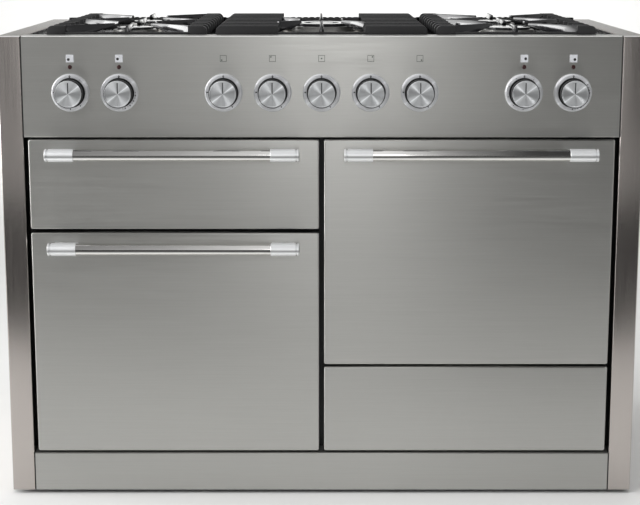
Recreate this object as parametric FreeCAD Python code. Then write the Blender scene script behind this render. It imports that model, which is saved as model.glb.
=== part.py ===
"""Dual fuel range cooker, 1.2 m wide: five gas burners over a grill, two fan ovens and a drawer.

Frame: +X to the viewer's right, +Y from the front to the back, +Z up. Millimetres.
The origin is on the floor, under the middle of the cooker's box.
"""
import FreeCAD
import Part
import math
import os

V = FreeCAD.Vector
X_AXIS = V(1, 0, 0)
Y_AXIS = V(0, 1, 0)
Z_AXIS = V(0, 0, 1)
FULL_TURN = 360.0
OUT = "parts"

# Overall size
overall_width = 1215.0
body_depth = 600.0
hob_height = 898.0
floor_gap = 8.0
side_panel_width = 44.0
overrun = 5.0  # how far every cutting tool runs past the face it opens
parallel_share = 0.999

# Sheet metal and running gaps
sheet = 2.0
enamel_sheet = 2.5
fit_gap = 0.8
seat_gap = 0.3
bend_radius = 2.5

# Door fronts
door_column_gap = 9.0
door_side_gap = 8.0
panel_height = 191.0
panel_door_gap = 4.0
grill_door_share = 0.278514
door_row_gap = 7.0
drawer_row_gap = 4.6
door_bottom_z = 88.0
drawer_front_height = 170.6
plinth_top_z = 83.8
door_depth = 36.0
door_corner_radius = 4.0

# Handles
handle_margin = 37.5
handle_radius = 11.0
handle_sleeve_radius = 12.2
handle_sleeve_length = 54.0
handle_cap_length = 7.0
handle_bead_width = 3.6
handle_bead_round = 2.2
handle_groove = 2.0
handle_groove_depth = 0.8
handle_reach = 48.0
handle_drop = 25.0
handle_post_width = 50.0
handle_post_height = 14.0

# Controls
knob_pitch = 92.0
outer_knob_inset = 184.0
knob_drop = 106.0
knob_radius = 26.5
knob_length = 27.0
knob_back_gap = 5.0
knob_skirt_radius = 24.5
knob_face_depth = 15.0
knob_chamfer = 1.6
bezel_radius = 35.5
bezel_bore_radius = 28.0
bezel_depth = 7.0
bezel_bevel = 3.5
spindle_radius = 3.0
spindle_length = 51.0
stem_radius = 7.5
bore_gap = 0.05
stem_reach = 8.0
knob_bore_start = 11.0
spindle_grip = 20.0
collar_length = 3.0
tap_sleeve_radius = 13.0
neon_lens_depth = 1.5
hole_gap = 1.0
neon_radius = 3.0
neon_bezel_radius = 4.0
neon_rise = 48.0
neon_depth = 26.0

# Hob
rim_depth = 45.0
hob_step = 10.0
hob_sheet = 2.5
grate_rise = 16.0
grate_front_gap = 5.0
grate_back_gap = 6.0
side_grate_margin = 41.5
side_grate_share = 0.26974
centre_grate_share = 0.3567
side_wing_share = 0.11842
rib_count = 10
rib_thickness = 11.0
rib_height = 18.0
rib_corner_radius = 10.0
rail_width = 9.0
rail_height = 10.0
foot_height = 8.0
finger_thickness = 7.0
finger_taper_share = 0.5
bar_height = 10.0
bar_rise = 6.0
finger_tip_height = 5.0
finger_gap_radius = 52.0
wok_finger_gap_radius = 60.0
burner_place_share = 0.272
vent_depth = 44.0
vent_rise = 6.0
vent_pitch = 14.0
vent_slot = 9.0
vent_slot_length = 28.0
vent_notch_height = 5.0

# Burner sizes: radius of the head, height of the head, radius of the cap
small_burner = (37.0, 9.0, 30.0)
medium_burner = (43.0, 9.0, 36.0)
large_burner = (52.0, 9.0, 44.0)
wok_burner = (71.0, 10.0, 58.0)
cap_height = 6.0
burner_base_flange = 12.0
burner_base_height = 3.0
burner_cup_depth = 24.0
burner_cup_share = 0.55
electrode_radius = 3.0
electrode_height = 12.0
electrode_gap = 3.0
port_step = 15.0
port_width = 2.0
port_height = 3.0
port_depth = 3.0
cap_round = 2.5
wok_lid_share = 0.42
wok_bore_share = 0.62

# Ovens
frame_gap = 6.0
frame_sheet = 4.0
frame_lip = 20.0
cavity_side_margin = 55.5
oven_door_margin = 45.8
oven_back_space = 180.0
grill_height = 104.0
grill_back_space = 200.0
cavity_flange = 14.0
ledge_width = 7.0
ledge_height = 5.0
ledge_levels = (0.25, 0.5, 0.75)
ledge_slot = 9.0
seal_width = 8.0
seal_inset = 2.5
plug_step = 3.0

# Hinges at the foot of each drop-down door
hinge_back = 7.0
hinge_up = 6.0
hinge_inset = 42.0
hinge_arm_width = 8.0
hinge_notch_width = 13.0
hinge_notch_height = 13.5
hinge_pin_radius = 2.5
hinge_pin_grip = 5.0
hinge_arm_height = 8.0
hinge_block_width = 9.0
front_finger_angles = (225.0, 270.0, 315.0)
rear_finger_angles = (45.0, 90.0, 135.0)
tiny_share = 0.0001
rail_inset = 8.0
slide_gap = 0.1
rack_wire_lift = 0.4
rack_front_gap = 12.0
pan_corner_radius = 12.0
pan_grip_width = 150.0
pan_grip_reach = 8.0
grill_level = 0.5
ring_back_gap = 22.0
ring_tail_share = 0.8
baffle_side_slots = 5
baffle_slot_margin = 6.0
baffle_side_share = 0.1417
fan_shaft_grip = 24.0
fan_blade_start_share = 0.355
bead_width = 8.0
bead_height = 16.0
runner_flange = 8.0
shaft_hole_radius = 7.0

# Drawer
drawer_side_margin = 32.5
drawer_height = 112.0
drawer_back_space = 170.0
drawer_wall = 2.0
runner_width = 12.0
runner_gap = 0.8

# Racks, pan, elements and fans
rack_wire = 3.0
rack_frame_wire = 5.0
rack_cross_wire = 4.4
rack_bars = 13
rack_side_gap = 3.0
rack_cross_inset = 10.0
rack_back_gap = 8.0
pan_back_gap = 50.0
pan_height = 34.0
pan_wall = 2.0
pan_rail_width = 6.0
element_radius = 3.5
element_bend = 40.0
element_runs = 4
element_drop = 12.0
element_margin = 50.0
fan_share = 0.738
fan_blades = 10
fan_blade_depth = 20.0
fan_blade_thickness = 1.6
fan_hub_radius = 12.0
fan_shaft_radius = 4.0
fan_back_gap = 6.0
ring_share = 0.35
ring_tube = 4.0
baffle_width = 250.0
baffle_height_share = 0.6977
baffle_depth = 44.0
baffle_slots = 9
baffle_slot_share = 0.49
baffle_vent_share = 0.742
motor_radius = 34.0
motor_length = 46.0
motor_flange = 10.0
motor_flange_depth = 3.0

# Gas rail and switch bodies behind the control panel
pipe_radius = 7.0
tap_width = 26.0
tap_height = 30.0
tap_depth = 34.0
tap_back = 14.0
switch_width = 42.0
switch_depth = 30.0
pipe_end_gap = 60.0

# Feet and rear rollers
foot_radius = 19.0
foot_pad_height = 9.0
foot_stem_radius = 5.0
foot_inset_x = 90.0
foot_inset_y = 18.0
base_rail_height = 30.0
base_rail_depth = 40.0
base_lift = 6.0
roller_radius = 24.0
roller_width = 24.0
roller_axle_radius = 5.0
roller_inset_x = 90.0
roller_inset_y = 34.0

# Rear cover
back_vent_slots = 12
back_vent_share = 0.0355
back_vent_width = 22.0
back_vent_height = 6.0
inlet_radius = 10.5
inlet_bore_depth = 16.0
back_inset = 22.0
back_vent_low_z = 120.0
back_vent_drops = (138.0, 118.0, 98.0)
foot_chamfer = 1.5
skin_depth = 20.0
skin_edge_radius = 3.0

# Places that follow from the sizes above
front_y = handle_reach - (body_depth + handle_reach) / 2
back_y = front_y + body_depth
half_width = overall_width / 2
inner_x = half_width - side_panel_width
column_in = door_column_gap / 2
column_out = inner_x - door_side_gap
column_mid = (column_in + column_out) / 2
door_width = column_out - column_in
handle_length = door_width - handle_margin * 2
cavity_width = door_width - cavity_side_margin * 2
drawer_width = door_width - drawer_side_margin * 2
panel_bottom_z = hob_height - panel_height
grill_door_height = (panel_bottom_z - door_bottom_z) * grill_door_share
grill_door_top_z = panel_bottom_z - panel_door_gap
grill_door_bottom_z = grill_door_top_z - grill_door_height
left_door_top_z = grill_door_bottom_z - door_row_gap
left_door_bottom_z = door_bottom_z
drawer_bottom_z = door_bottom_z
drawer_top_z = drawer_bottom_z + drawer_front_height
right_door_top_z = grill_door_top_z
right_door_bottom_z = drawer_top_z + drawer_row_gap
oven_height = left_door_top_z - left_door_bottom_z - oven_door_margin * 2
oven_depth = body_depth - oven_back_space
grill_depth = body_depth - grill_back_space
drawer_depth = body_depth - drawer_back_space
rack_depth = oven_depth - baffle_depth - rack_front_gap - rack_back_gap
pan_depth = grill_depth - pan_back_gap
knob_z = hob_height - knob_drop
neon_z = knob_z + neon_rise
outer_knob_x = inner_x - outer_knob_inset
inlet_x = (knob_pitch * 2 + outer_knob_x) / 2
door_back_y = front_y + door_depth
frame_y = door_back_y + frame_gap
cavity_y = frame_y + frame_sheet
hob_z = hob_height - hob_step
hob_y0 = front_y + rim_depth
hob_y1 = back_y - vent_depth
grate_y0 = hob_y0 + grate_front_gap
grate_length = hob_y1 - grate_back_gap - grate_y0
grate_top_z = hob_height + grate_rise
vent_top_z = hob_height + vent_rise
side_grate_width = inner_x * 2 * side_grate_share
side_grate_x = inner_x - side_grate_margin - side_grate_width / 2
side_wing_width = side_grate_width * side_wing_share
centre_grate_width = inner_x * 2 * centre_grate_share
centre_wing_width = centre_grate_width / 2 - wok_burner[0] - burner_base_flange
rib_pitch = (grate_length - rib_thickness) / (rib_count - 1)
rib_z0 = grate_top_z - rib_height
burner_front_y = grate_y0 + grate_length * burner_place_share
burner_rear_y = grate_y0 + grate_length * (1 - burner_place_share)
burner_mid_y = grate_y0 + grate_length / 2
panel_back_y = front_y + sheet
base_z0 = floor_gap + base_lift
base_z1 = base_z0 + base_rail_height
grill_z0 = (grill_door_bottom_z + grill_door_top_z - grill_height) / 2
left_oven_z0 = (left_door_bottom_z + left_door_top_z - oven_height) / 2
right_oven_z0 = (right_door_bottom_z + right_door_top_z - oven_height) / 2
tap_y0 = panel_back_y + tap_back
rail_y = tap_y0 + tap_depth / 2
rail_z = knob_z - tap_height / 2 - pipe_radius
knob_back_y = front_y - knob_back_gap
knob_front_y = knob_back_y - knob_length
outer_x = half_width - sheet
cover_y = back_y - back_inset - sheet
back_vent_pitch = inner_x * 2 * back_vent_share
back_vent_levels = [back_vent_low_z] + [hob_height - drop for drop in back_vent_drops]
baffle_height = oven_height * baffle_height_share
baffle_side_pitch = baffle_height * baffle_side_share
ring_radius = min(baffle_width, baffle_height) * ring_share
fan_radius = ring_radius * fan_share
baffle_vent_radius = fan_radius * baffle_vent_share
baffle_slot_pitch = baffle_vent_radius * 2 / baffle_slots
baffle_slot_width = baffle_slot_pitch * baffle_slot_share
fan_blade_start = fan_radius * fan_blade_start_share
foot_x = inner_x - foot_inset_x
foot_y = cavity_y + foot_inset_y
axle_y = cover_y - base_rail_depth - roller_inset_y
axle_length = (outer_x - base_rail_depth / 2) * 2

# Knob places along the panel: two for grill and left oven, five gas, two for the right oven
gas_knob_x = [knob_pitch * n for n in (-2, -1, 0, 1, 2)]
left_knob_x = [-outer_knob_x - knob_pitch, -outer_knob_x]
right_knob_x = [outer_knob_x, outer_knob_x + knob_pitch]
all_knob_x = left_knob_x + gas_knob_x + right_knob_x
neon_x = left_knob_x + right_knob_x
electric_names = ["knob_grill", "knob_left_oven", "knob_right_oven_mode", "knob_right_oven_heat"]
gas_names = ["front_left", "rear_left", "centre", "rear_right", "front_right"]

# Burners: x, y, size
burners = [
    (-side_grate_x, burner_front_y, medium_burner),
    (-side_grate_x, burner_rear_y, small_burner),
    (0.0, burner_mid_y, wok_burner),
    (side_grate_x, burner_rear_y, medium_burner),
    (side_grate_x, burner_front_y, large_burner),
]

# Doors: name, side, bottom, top, cavity floor, cavity height, cavity depth
door_rows = [
    ("grill", -1, grill_door_bottom_z, grill_door_top_z, grill_z0, grill_height, grill_depth),
    ("left_oven", -1, left_door_bottom_z, left_door_top_z, left_oven_z0, oven_height, oven_depth),
    ("right_oven", 1, right_door_bottom_z, right_door_top_z, right_oven_z0, oven_height, oven_depth),
]


def block(x0, x1, y0, y1, z0, z1):
    """A box between two corners."""
    return Part.makeBox(x1 - x0, y1 - y0, z1 - z0, V(x0, y0, z0))


def rod(radius, length, start, axis):
    """A round bar from a point along an axis."""
    return Part.makeCylinder(radius, length, start, axis)


def tube(outer, inner, length, start, axis):
    """A round bar with a bore right through it."""
    back = start - axis * overrun
    return rod(outer, length, start, axis).cut(rod(inner, length + overrun * 2, back, axis))


def joined(shapes):
    """One solid from touching or overlapping ones."""
    whole = shapes[0].multiFuse(shapes[1:]) if len(shapes) > 1 else shapes[0]
    return whole.removeSplitter()


def without(shape, tools):
    """The shape with every tool cut from it."""
    return shape.cut(Part.makeCompound(tools)) if tools else shape


def upright_edges(shape, axis, test):
    """The straight edges along an axis whose middle passes a test."""
    found = []
    for edge in shape.Edges:
        if edge.Curve.TypeId != "Part::GeomLine":
            continue
        direction = edge.tangentAt(edge.FirstParameter)
        if abs(direction.dot(axis)) > parallel_share and test(edge.CenterOfMass):
            found.append(edge)
    return found


def rounded(shape, axis, radius, test=lambda middle: True):
    """The shape with those edges rounded."""
    edges = upright_edges(shape, axis, test)
    return shape.makeFillet(radius, edges) if edges else shape


def plate(outline, thickness, axis):
    """A flat plate from a closed outline of points, raised along an axis."""
    wire = Part.makePolygon(outline + [outline[0]])
    return Part.Face(wire).extrude(axis * thickness)


def save(name, *shapes):
    """Writes one node as STEP."""
    solids = [solid for shape in shapes for solid in shape.Solids]
    whole = solids[0] if len(solids) == 1 else Part.makeCompound(solids)
    whole.exportStep(os.path.join(OUT, name + ".step"))
    bad = "" if all(solid.isValid() for solid in solids) else "  INVALID"
    print(f"{name}: {len(solids)} solids, {whole.Volume / 1000:.1f} cm3{bad}")


def side_panel(side):
    """One hollow sheet-metal side: front post, outer wall, top and rear return, open to the inside."""
    x0, x1 = sorted((side * inner_x, side * half_width))
    shell = block(x0, x1, front_y, back_y, floor_gap, hob_height)
    shell = rounded(shell, Z_AXIS, bend_radius, lambda m: m.y < front_y + sheet)
    shell = rounded(shell, X_AXIS, bend_radius, lambda m: m.y < front_y + sheet and m.z > hob_z)
    post = block(x0 + sheet, x1 - sheet, panel_back_y, frame_y, floor_gap - overrun, hob_height - sheet)
    w0 = x0 - overrun if side > 0 else x0 + sheet
    w1 = x1 - sheet if side > 0 else x1 + overrun
    wall = block(w0, w1, frame_y, back_y - sheet, floor_gap - overrun, hob_height - sheet)
    return without(shell, [post, wall])


def control_panel():
    """The folded fascia with holes for nine spindles and four lamps, and its top and bottom returns."""
    x1 = inner_x - fit_gap
    body = block(-x1, x1, front_y, hob_y0, panel_bottom_z, hob_height)
    body = rounded(body, X_AXIS, bend_radius, lambda m: m.y < front_y + sheet)
    body = body.cut(
        block(
            -x1 - overrun,
            x1 + overrun,
            panel_back_y,
            hob_y0 + overrun,
            panel_bottom_z + sheet,
            hob_height - sheet,
        )
    )
    body = body.cut(
        block(
            -x1 - overrun,
            x1 + overrun,
            frame_y,
            hob_y0 + overrun,
            panel_bottom_z - overrun,
            hob_z - overrun,
        )
    )
    holes = [
        rod(stem_radius + hole_gap, sheet + overrun * 2, V(x, front_y - overrun, knob_z), Y_AXIS)
        for x in all_knob_x
    ]
    holes += [
        rod(neon_radius, sheet + overrun * 2, V(x, front_y - overrun, neon_z), Y_AXIS)
        for x in neon_x
    ]
    return without(body, holes)


def plinth():
    """The folded strip under the doors."""
    x1 = inner_x - fit_gap
    body = block(-x1, x1, front_y, frame_y, floor_gap, plinth_top_z)
    body = rounded(body, X_AXIS, bend_radius, lambda m: m.y < front_y + sheet and m.z > base_z1)
    pocket = block(
        -x1 - overrun,
        x1 + overrun,
        panel_back_y,
        frame_y + overrun,
        floor_gap - overrun,
        plinth_top_z - sheet,
    )
    return body.cut(pocket)


def cavity_box(side, z0, height, depth, grow=0.0, y0=cavity_y):
    """The space inside one oven, grown on every side but the front."""
    x = side * column_mid
    half = cavity_width / 2 + grow
    return block(x - half, x + half, y0, cavity_y + depth + grow, z0 - grow, z0 + height + grow)


def front_frame():
    """The black plate behind the doors, with an opening for each cavity and the drawer."""
    plate_body = block(-outer_x, outer_x, frame_y, cavity_y, base_z0, panel_bottom_z + frame_lip)
    openings = [
        cavity_box(side, z0, height, overrun, 0.0, frame_y - overrun)
        for _, side, _, _, z0, height, _ in door_rows
    ]
    half = drawer_width / 2 + runner_width + runner_gap * 2
    middle = (drawer_bottom_z + drawer_top_z) / 2
    openings.append(
        block(
            column_mid - half,
            column_mid + half,
            frame_y - overrun,
            cavity_y + overrun,
            middle - drawer_height / 2 - runner_gap,
            middle + drawer_height / 2 + runner_gap,
        )
    )
    return without(plate_body, openings)


def cavity(side, z0, height, depth, level_shares):
    """An enamelled liner: five walls, a front flange and ledges pressed in its sides."""
    x = side * column_mid
    half = cavity_width / 2
    shell = cavity_box(side, z0, height, depth, enamel_sheet)
    flange = block(
        x - half - cavity_flange,
        x + half + cavity_flange,
        cavity_y,
        cavity_y + enamel_sheet,
        z0 - cavity_flange,
        z0 + height + cavity_flange,
    )
    body = joined([shell, flange]).cut(cavity_box(side, z0, height, depth, 0.0, cavity_y - overrun))
    ledges = []
    for share in level_shares:
        for hand in (-1, 1):
            wall = x + hand * half
            for lift in (0.0, ledge_height + ledge_slot):
                zl = z0 + height * share + lift
                xa, xb = sorted((wall, wall - hand * ledge_width))
                y0, y1 = cavity_y + cavity_flange, cavity_y + depth - baffle_depth
                ledges.append(block(xa, xb, y0, y1, zl, zl + ledge_height))
    body = joined([body] + ledges)
    if depth == grill_depth:
        return body
    place = fan_place(side, z0, height, depth)
    return body.cut(rod(shaft_hole_radius, overrun * 2, place - Y_AXIS * overrun, Y_AXIS))


def hob_tray():
    """The sunken hob surface with an upstand all round and a hole under each burner."""
    x1 = inner_x
    top = hob_height - sheet
    tray = block(-x1, x1, hob_y0, hob_y1, hob_z - hob_sheet, top)
    tray = tray.cut(
        block(-x1 + hob_sheet, x1 - hob_sheet, hob_y0 + hob_sheet, hob_y1 - hob_sheet, hob_z, top + overrun)
    )
    low = hob_z - hob_sheet - overrun
    holes = [
        rod(size[0] * burner_cup_share + hole_gap, hob_step + overrun, V(x, y, low), Z_AXIS)
        for x, y, size in burners
    ]
    return without(tray, holes)


def flue_grille():
    """The slotted vent strip along the back of the hob."""
    x1 = inner_x - fit_gap
    body = block(-x1, x1, hob_y1, back_y, hob_z - hob_sheet, vent_top_z)
    low = hob_z - hob_sheet - overrun
    body = body.cut(
        block(-x1 + sheet, x1 - sheet, hob_y1 + sheet, back_y - sheet, low, vent_top_z - sheet)
    )
    count = int((x1 * 2 - vent_pitch * 2) / vent_pitch)
    first = -(count - 1) / 2 * vent_pitch
    slots = [
        block(
            first + n * vent_pitch - vent_slot / 2,
            first + n * vent_pitch + vent_slot / 2,
            hob_y1 - overrun,
            hob_y1 + vent_slot_length,
            vent_top_z - vent_notch_height,
            vent_top_z + overrun,
        )
        for n in range(count)
    ]
    return without(body, slots)


def back_cover():
    """The rear cover, set in from the back edge, with rows of slots and a hole for the gas inlet."""
    y0 = cover_y
    top = hob_z - hob_sheet - seat_gap
    face = block(-outer_x, outer_x, y0, y0 + sheet, base_z0, top)
    cap = block(-inner_x, inner_x, y0, back_y - sheet, top - sheet, top)
    cover = joined([face, cap])
    first = -(back_vent_slots - 1) / 2 * back_vent_pitch
    tools = [
        block(
            first + n * back_vent_pitch - back_vent_width / 2,
            first + n * back_vent_pitch + back_vent_width / 2,
            y0 - overrun,
            back_y,
            z,
            z + back_vent_height,
        )
        for n in range(back_vent_slots)
        for z in back_vent_levels
    ]
    tools.append(rod(pipe_radius + seat_gap, back_inset, V(inlet_x, y0 - overrun, rail_z), Y_AXIS))
    return without(cover, tools)


def base_frame():
    """The welded base: a ring of four rails with bores for the front feet and the rear axle."""
    x1 = outer_x
    y0, y1 = cavity_y, cover_y
    ring = block(-x1, x1, y0, y1, base_z0, base_z1)
    ring = ring.cut(
        block(
            -x1 + base_rail_depth,
            x1 - base_rail_depth,
            y0 + base_rail_depth,
            y1 - base_rail_depth,
            base_z0 - overrun,
            base_z1 + overrun,
        )
    )
    bore = foot_stem_radius + bore_gap
    tools = [
        rod(bore, base_rail_height, V(side * foot_x, foot_y, base_z0 - overrun), Z_AXIS) for side in (-1, 1)
    ]
    axle_start = V(-axle_length / 2, axle_y, roller_radius)
    tools.append(rod(roller_axle_radius + bore_gap, axle_length, axle_start, X_AXIS))
    return without(ring, tools)


def front_feet():
    """Two levelling feet: a round pad on a stem that screws up into the base."""
    feet = []
    for side in (-1, 1):
        pad = rod(foot_radius, foot_pad_height, V(side * foot_x, foot_y, 0), Z_AXIS)
        top_edges = [e for e in pad.Edges if e.CenterOfMass.z > foot_pad_height / 2]
        pad = pad.makeChamfer(foot_chamfer, top_edges)
        stem_length = base_z0 + base_rail_height - overrun * 2 - foot_pad_height
        stem = rod(foot_stem_radius, stem_length, V(side * foot_x, foot_y, foot_pad_height), Z_AXIS)
        feet.append(joined([pad, stem]))
    return feet


def rear_rollers():
    """Two rollers turned with their common axle."""
    length = axle_length - seat_gap * 2
    axle = rod(roller_axle_radius, length, V(-length / 2, axle_y, roller_radius), X_AXIS)
    wheels = []
    for side in (-1, 1):
        start = side * (inner_x - roller_inset_x) - roller_width / 2
        wheel = rod(roller_radius, roller_width, V(start, axle_y, roller_radius), X_AXIS)
        rims = [e for e in wheel.Edges if e.Length > roller_width * 2]
        wheels.append(wheel.makeChamfer(foot_chamfer, rims))
    return joined([axle] + wheels)


def ring_plate(x0, x1, z0, z1, width, y0, y1):
    """A flat rectangular ring, such as a door seal."""
    outer = rounded(block(x0, x1, y0, y1, z0, z1), Y_AXIS, width)
    return outer.cut(block(x0 + width, x1 - width, y0 - overrun, y1 + overrun, z0 + width, z1 - width))


def door_seal(side, z0, height):
    """The seal round one cavity mouth, pushed onto the frame."""
    x = side * column_mid
    half = cavity_width / 2 + seal_width + seal_inset
    reach = seal_width + seal_inset
    return ring_plate(
        x - half, x + half, z0 - reach, z0 + height + reach, seal_width, door_back_y + fit_gap, frame_y
    )


def door_skin(side, z0, z1, notch_x):
    """The pressed front of a door or drawer: a shallow tray with soft edges, notched for its hinges."""
    x0, x1 = sorted((side * column_in, side * column_out))
    tray = block(x0, x1, front_y, front_y + skin_depth, z0, z1)
    tray = rounded(tray, Y_AXIS, door_corner_radius)
    front = [e for e in tray.Edges if abs(e.CenterOfMass.y - front_y) < sheet / 2]
    tray = tray.makeFillet(skin_edge_radius, front)
    y1 = front_y + skin_depth + overrun
    pocket = block(x0 + sheet, x1 - sheet, panel_back_y, y1, z0 + sheet, z1 - sheet)
    return without(tray.cut(pocket), [hinge_notch(x, z0) for x in notch_x])


def hinge_notch(x, z0):
    """The clear space that one hinge arm needs in the foot of a door."""
    half = hinge_notch_width / 2
    return block(x - half, x + half, panel_back_y, frame_y, z0 - overrun, z0 + hinge_notch_height)


def hinge_places(side):
    """The middles of a door's two hinges."""
    reach = door_width / 2 - hinge_inset
    return [side * column_mid - reach, side * column_mid + reach]


def door_liner(side, z0, z1, cavity_z0, height):
    """The inner half of a door: a pressed pan with a plug that enters the seal, its hinge lugs and pins."""
    x0, x1 = sorted((side * column_in, side * column_out))
    y0 = front_y + skin_depth
    pan = rounded(block(x0, x1, y0, door_back_y, z0, z1), Y_AXIS, door_corner_radius)
    wall = enamel_sheet
    pan = pan.cut(block(x0 + wall, x1 - wall, y0 - overrun, door_back_y - wall, z0 + wall, z1 - wall))
    x = side * column_mid
    half = cavity_width / 2 - plug_step
    plug = block(
        x - half,
        x + half,
        door_back_y - wall,
        door_back_y + plug_step,
        cavity_z0 + plug_step,
        cavity_z0 + height - plug_step,
    )
    axis_y = front_y + hinge_back
    axis_z = z0 + hinge_up
    places = hinge_places(side)
    pieces = [pan, plug]
    lug_half = hinge_notch_width / 2 + hinge_block_width
    for place in places:
        pieces.append(
            block(
                place - lug_half,
                place + lug_half,
                panel_back_y + seat_gap,
                door_back_y - wall,
                z0 + sheet + seat_gap,
                z0 + hinge_notch_height + wall,
            )
        )
    body = without(joined(pieces), [hinge_notch(place, z0) for place in places])
    pin_half = lug_half - hinge_pin_grip / 2
    pins = [rod(hinge_pin_radius, pin_half * 2, V(p - pin_half, axis_y, axis_z), X_AXIS) for p in places]
    return joined([body] + pins)


def hinge_arm(place, z0):
    """A flat arm bolted to the frame, with a round nose bored for the door's pin."""
    axis_y = front_y + hinge_back
    axis_z = z0 + hinge_up
    half = hinge_arm_height / 2
    start = V(place - hinge_arm_width / 2, axis_y, axis_z)
    bar = block(start.x, start.x + hinge_arm_width, axis_y, frame_y, axis_z - half, axis_z + half)
    nose = rod(half, hinge_arm_width, start, X_AXIS)
    bore = rod(
        hinge_pin_radius + bore_gap, hinge_arm_width + overrun * 2, start - X_AXIS * overrun, X_AXIS
    )
    return joined([bar, nose]).cut(bore)


def handle_sleeve(outer, inner, y, z):
    """One sleeve of a handle: a rounded end, and a shallow groove that sets off its end bead."""
    x0, x1 = sorted((outer, inner))
    sleeve = rod(handle_sleeve_radius, x1 - x0, V(x0, y, z), X_AXIS)
    ends = [e for e in sleeve.Edges if abs(e.CenterOfMass.x - outer) < sheet / 2]
    sleeve = sleeve.makeFillet(handle_bead_round, ends)
    hand = 1 if outer > inner else -1
    g0, g1 = sorted((outer - hand * handle_bead_width, outer - hand * (handle_bead_width + handle_groove)))
    bottom = handle_sleeve_radius - handle_groove_depth
    return sleeve.cut(tube(handle_sleeve_radius + overrun, bottom, g1 - g0, V(g0, y, z), X_AXIS))


def handle(side, door_top):
    """A round bar held by two sleeves, each with a foot that meets the door."""
    x = side * column_mid
    y = front_y - handle_reach + handle_sleeve_radius
    z = door_top - handle_drop
    bar_half = handle_length / 2 - handle_cap_length
    bar = rod(handle_radius, bar_half * 2, V(x - bar_half, y, z), X_AXIS)
    pieces = [bar]
    half = handle_post_height / 2
    for hand in (-1, 1):
        outer = x + hand * handle_length / 2
        inner = outer - hand * handle_sleeve_length
        near = outer - hand * handle_cap_length
        far = outer - hand * (handle_cap_length + handle_post_width)
        x0, x1 = sorted((near, inner if abs(far - outer) > handle_sleeve_length else far))
        post = rounded(block(x0, x1, y, front_y, z - half, z + half), Y_AXIS, door_corner_radius)
        pieces.append(joined([handle_sleeve(outer, inner, y, z), post]).cut(bar))
    return pieces


def knob(x):
    """A turned knob: bright face, slimmer skirt and a stem bored for its spindle."""
    face = rod(knob_radius, knob_face_depth, V(x, knob_front_y, knob_z), Y_AXIS)
    rims = [e for e in face.Edges if abs(e.CenterOfMass.y - knob_front_y) < sheet / 2]
    face = face.makeChamfer(knob_chamfer, rims)
    skirt_y = knob_front_y + knob_face_depth
    skirt = rod(knob_skirt_radius, knob_length - knob_face_depth, V(x, skirt_y, knob_z), Y_AXIS)
    stem = rod(stem_radius, knob_back_gap + stem_reach, V(x, knob_back_y, knob_z), Y_AXIS)
    bore_y = knob_front_y + knob_bore_start
    bore_length = front_y + stem_reach + overrun - bore_y
    bore = rod(spindle_radius + bore_gap, bore_length, V(x, bore_y, knob_z), Y_AXIS)
    return joined([face, skirt, stem]).cut(bore)


def spindle(x):
    """The rod that a tap turns on, with the collar that keeps it in the tap."""
    end = tap_y0 + spindle_grip
    shaft = rod(spindle_radius, spindle_length, V(x, end - spindle_length, knob_z), Y_AXIS)
    collar_y = tap_y0 - seat_gap - collar_length
    collar = rod(spindle_radius + hole_gap, collar_length, V(x, collar_y, knob_z), Y_AXIS)
    return joined([shaft, collar])


def bezel(x):
    """The bevelled ring behind a knob."""
    y0 = front_y - bezel_depth
    ring = rod(bezel_radius, bezel_depth, V(x, y0, knob_z), Y_AXIS)
    ring = ring.makeChamfer(bezel_bevel, [e for e in ring.Edges if abs(e.CenterOfMass.y - y0) < sheet / 2])
    return ring.cut(rod(bezel_bore_radius, bezel_depth + overrun * 2, V(x, y0 - overrun, knob_z), Y_AXIS))


def gas_tap(x):
    """A brass tap on the gas rail: a body bored for its spindle and a collar against the panel."""
    body = block(
        x - tap_width / 2,
        x + tap_width / 2,
        tap_y0,
        tap_y0 + tap_depth,
        knob_z - tap_height / 2,
        knob_z + tap_height / 2,
    )
    body = rounded(body, Y_AXIS, door_corner_radius)
    sleeve = tube(tap_sleeve_radius, stem_radius + hole_gap, tap_back, V(x, panel_back_y, knob_z), Y_AXIS)
    bore_length = spindle_grip + hole_gap + overrun
    bore = rod(spindle_radius + bore_gap, bore_length, V(x, tap_y0 - overrun, knob_z), Y_AXIS)
    return joined([body, sleeve]).cut(bore)


def electric_switch(x):
    """A switch body behind the panel with the fixed post its knob turns on."""
    half = switch_width / 2
    body = block(x - half, x + half, tap_y0, tap_y0 + switch_depth, knob_z - half, knob_z + half)
    body = rounded(body, Y_AXIS, door_corner_radius)
    sleeve = tube(tap_sleeve_radius, stem_radius + hole_gap, tap_back, V(x, panel_back_y, knob_z), Y_AXIS)
    start = tap_y0 + spindle_grip - spindle_length
    post = rod(spindle_radius, tap_y0 - start, V(x, start, knob_z), Y_AXIS)
    return joined([body, sleeve, post])


def neon_lamp(x):
    """A round indicator lens with its body through the panel."""
    lens = rod(neon_bezel_radius, neon_lens_depth, V(x, front_y - neon_lens_depth, neon_z), Y_AXIS)
    rims = [e for e in lens.Edges if e.CenterOfMass.y < front_y - neon_lens_depth / 2]
    lens = lens.makeChamfer(hole_gap / 2, rims)
    return joined([lens, rod(neon_radius - bore_gap, neon_depth, V(x, front_y, neon_z), Y_AXIS)])


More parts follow.
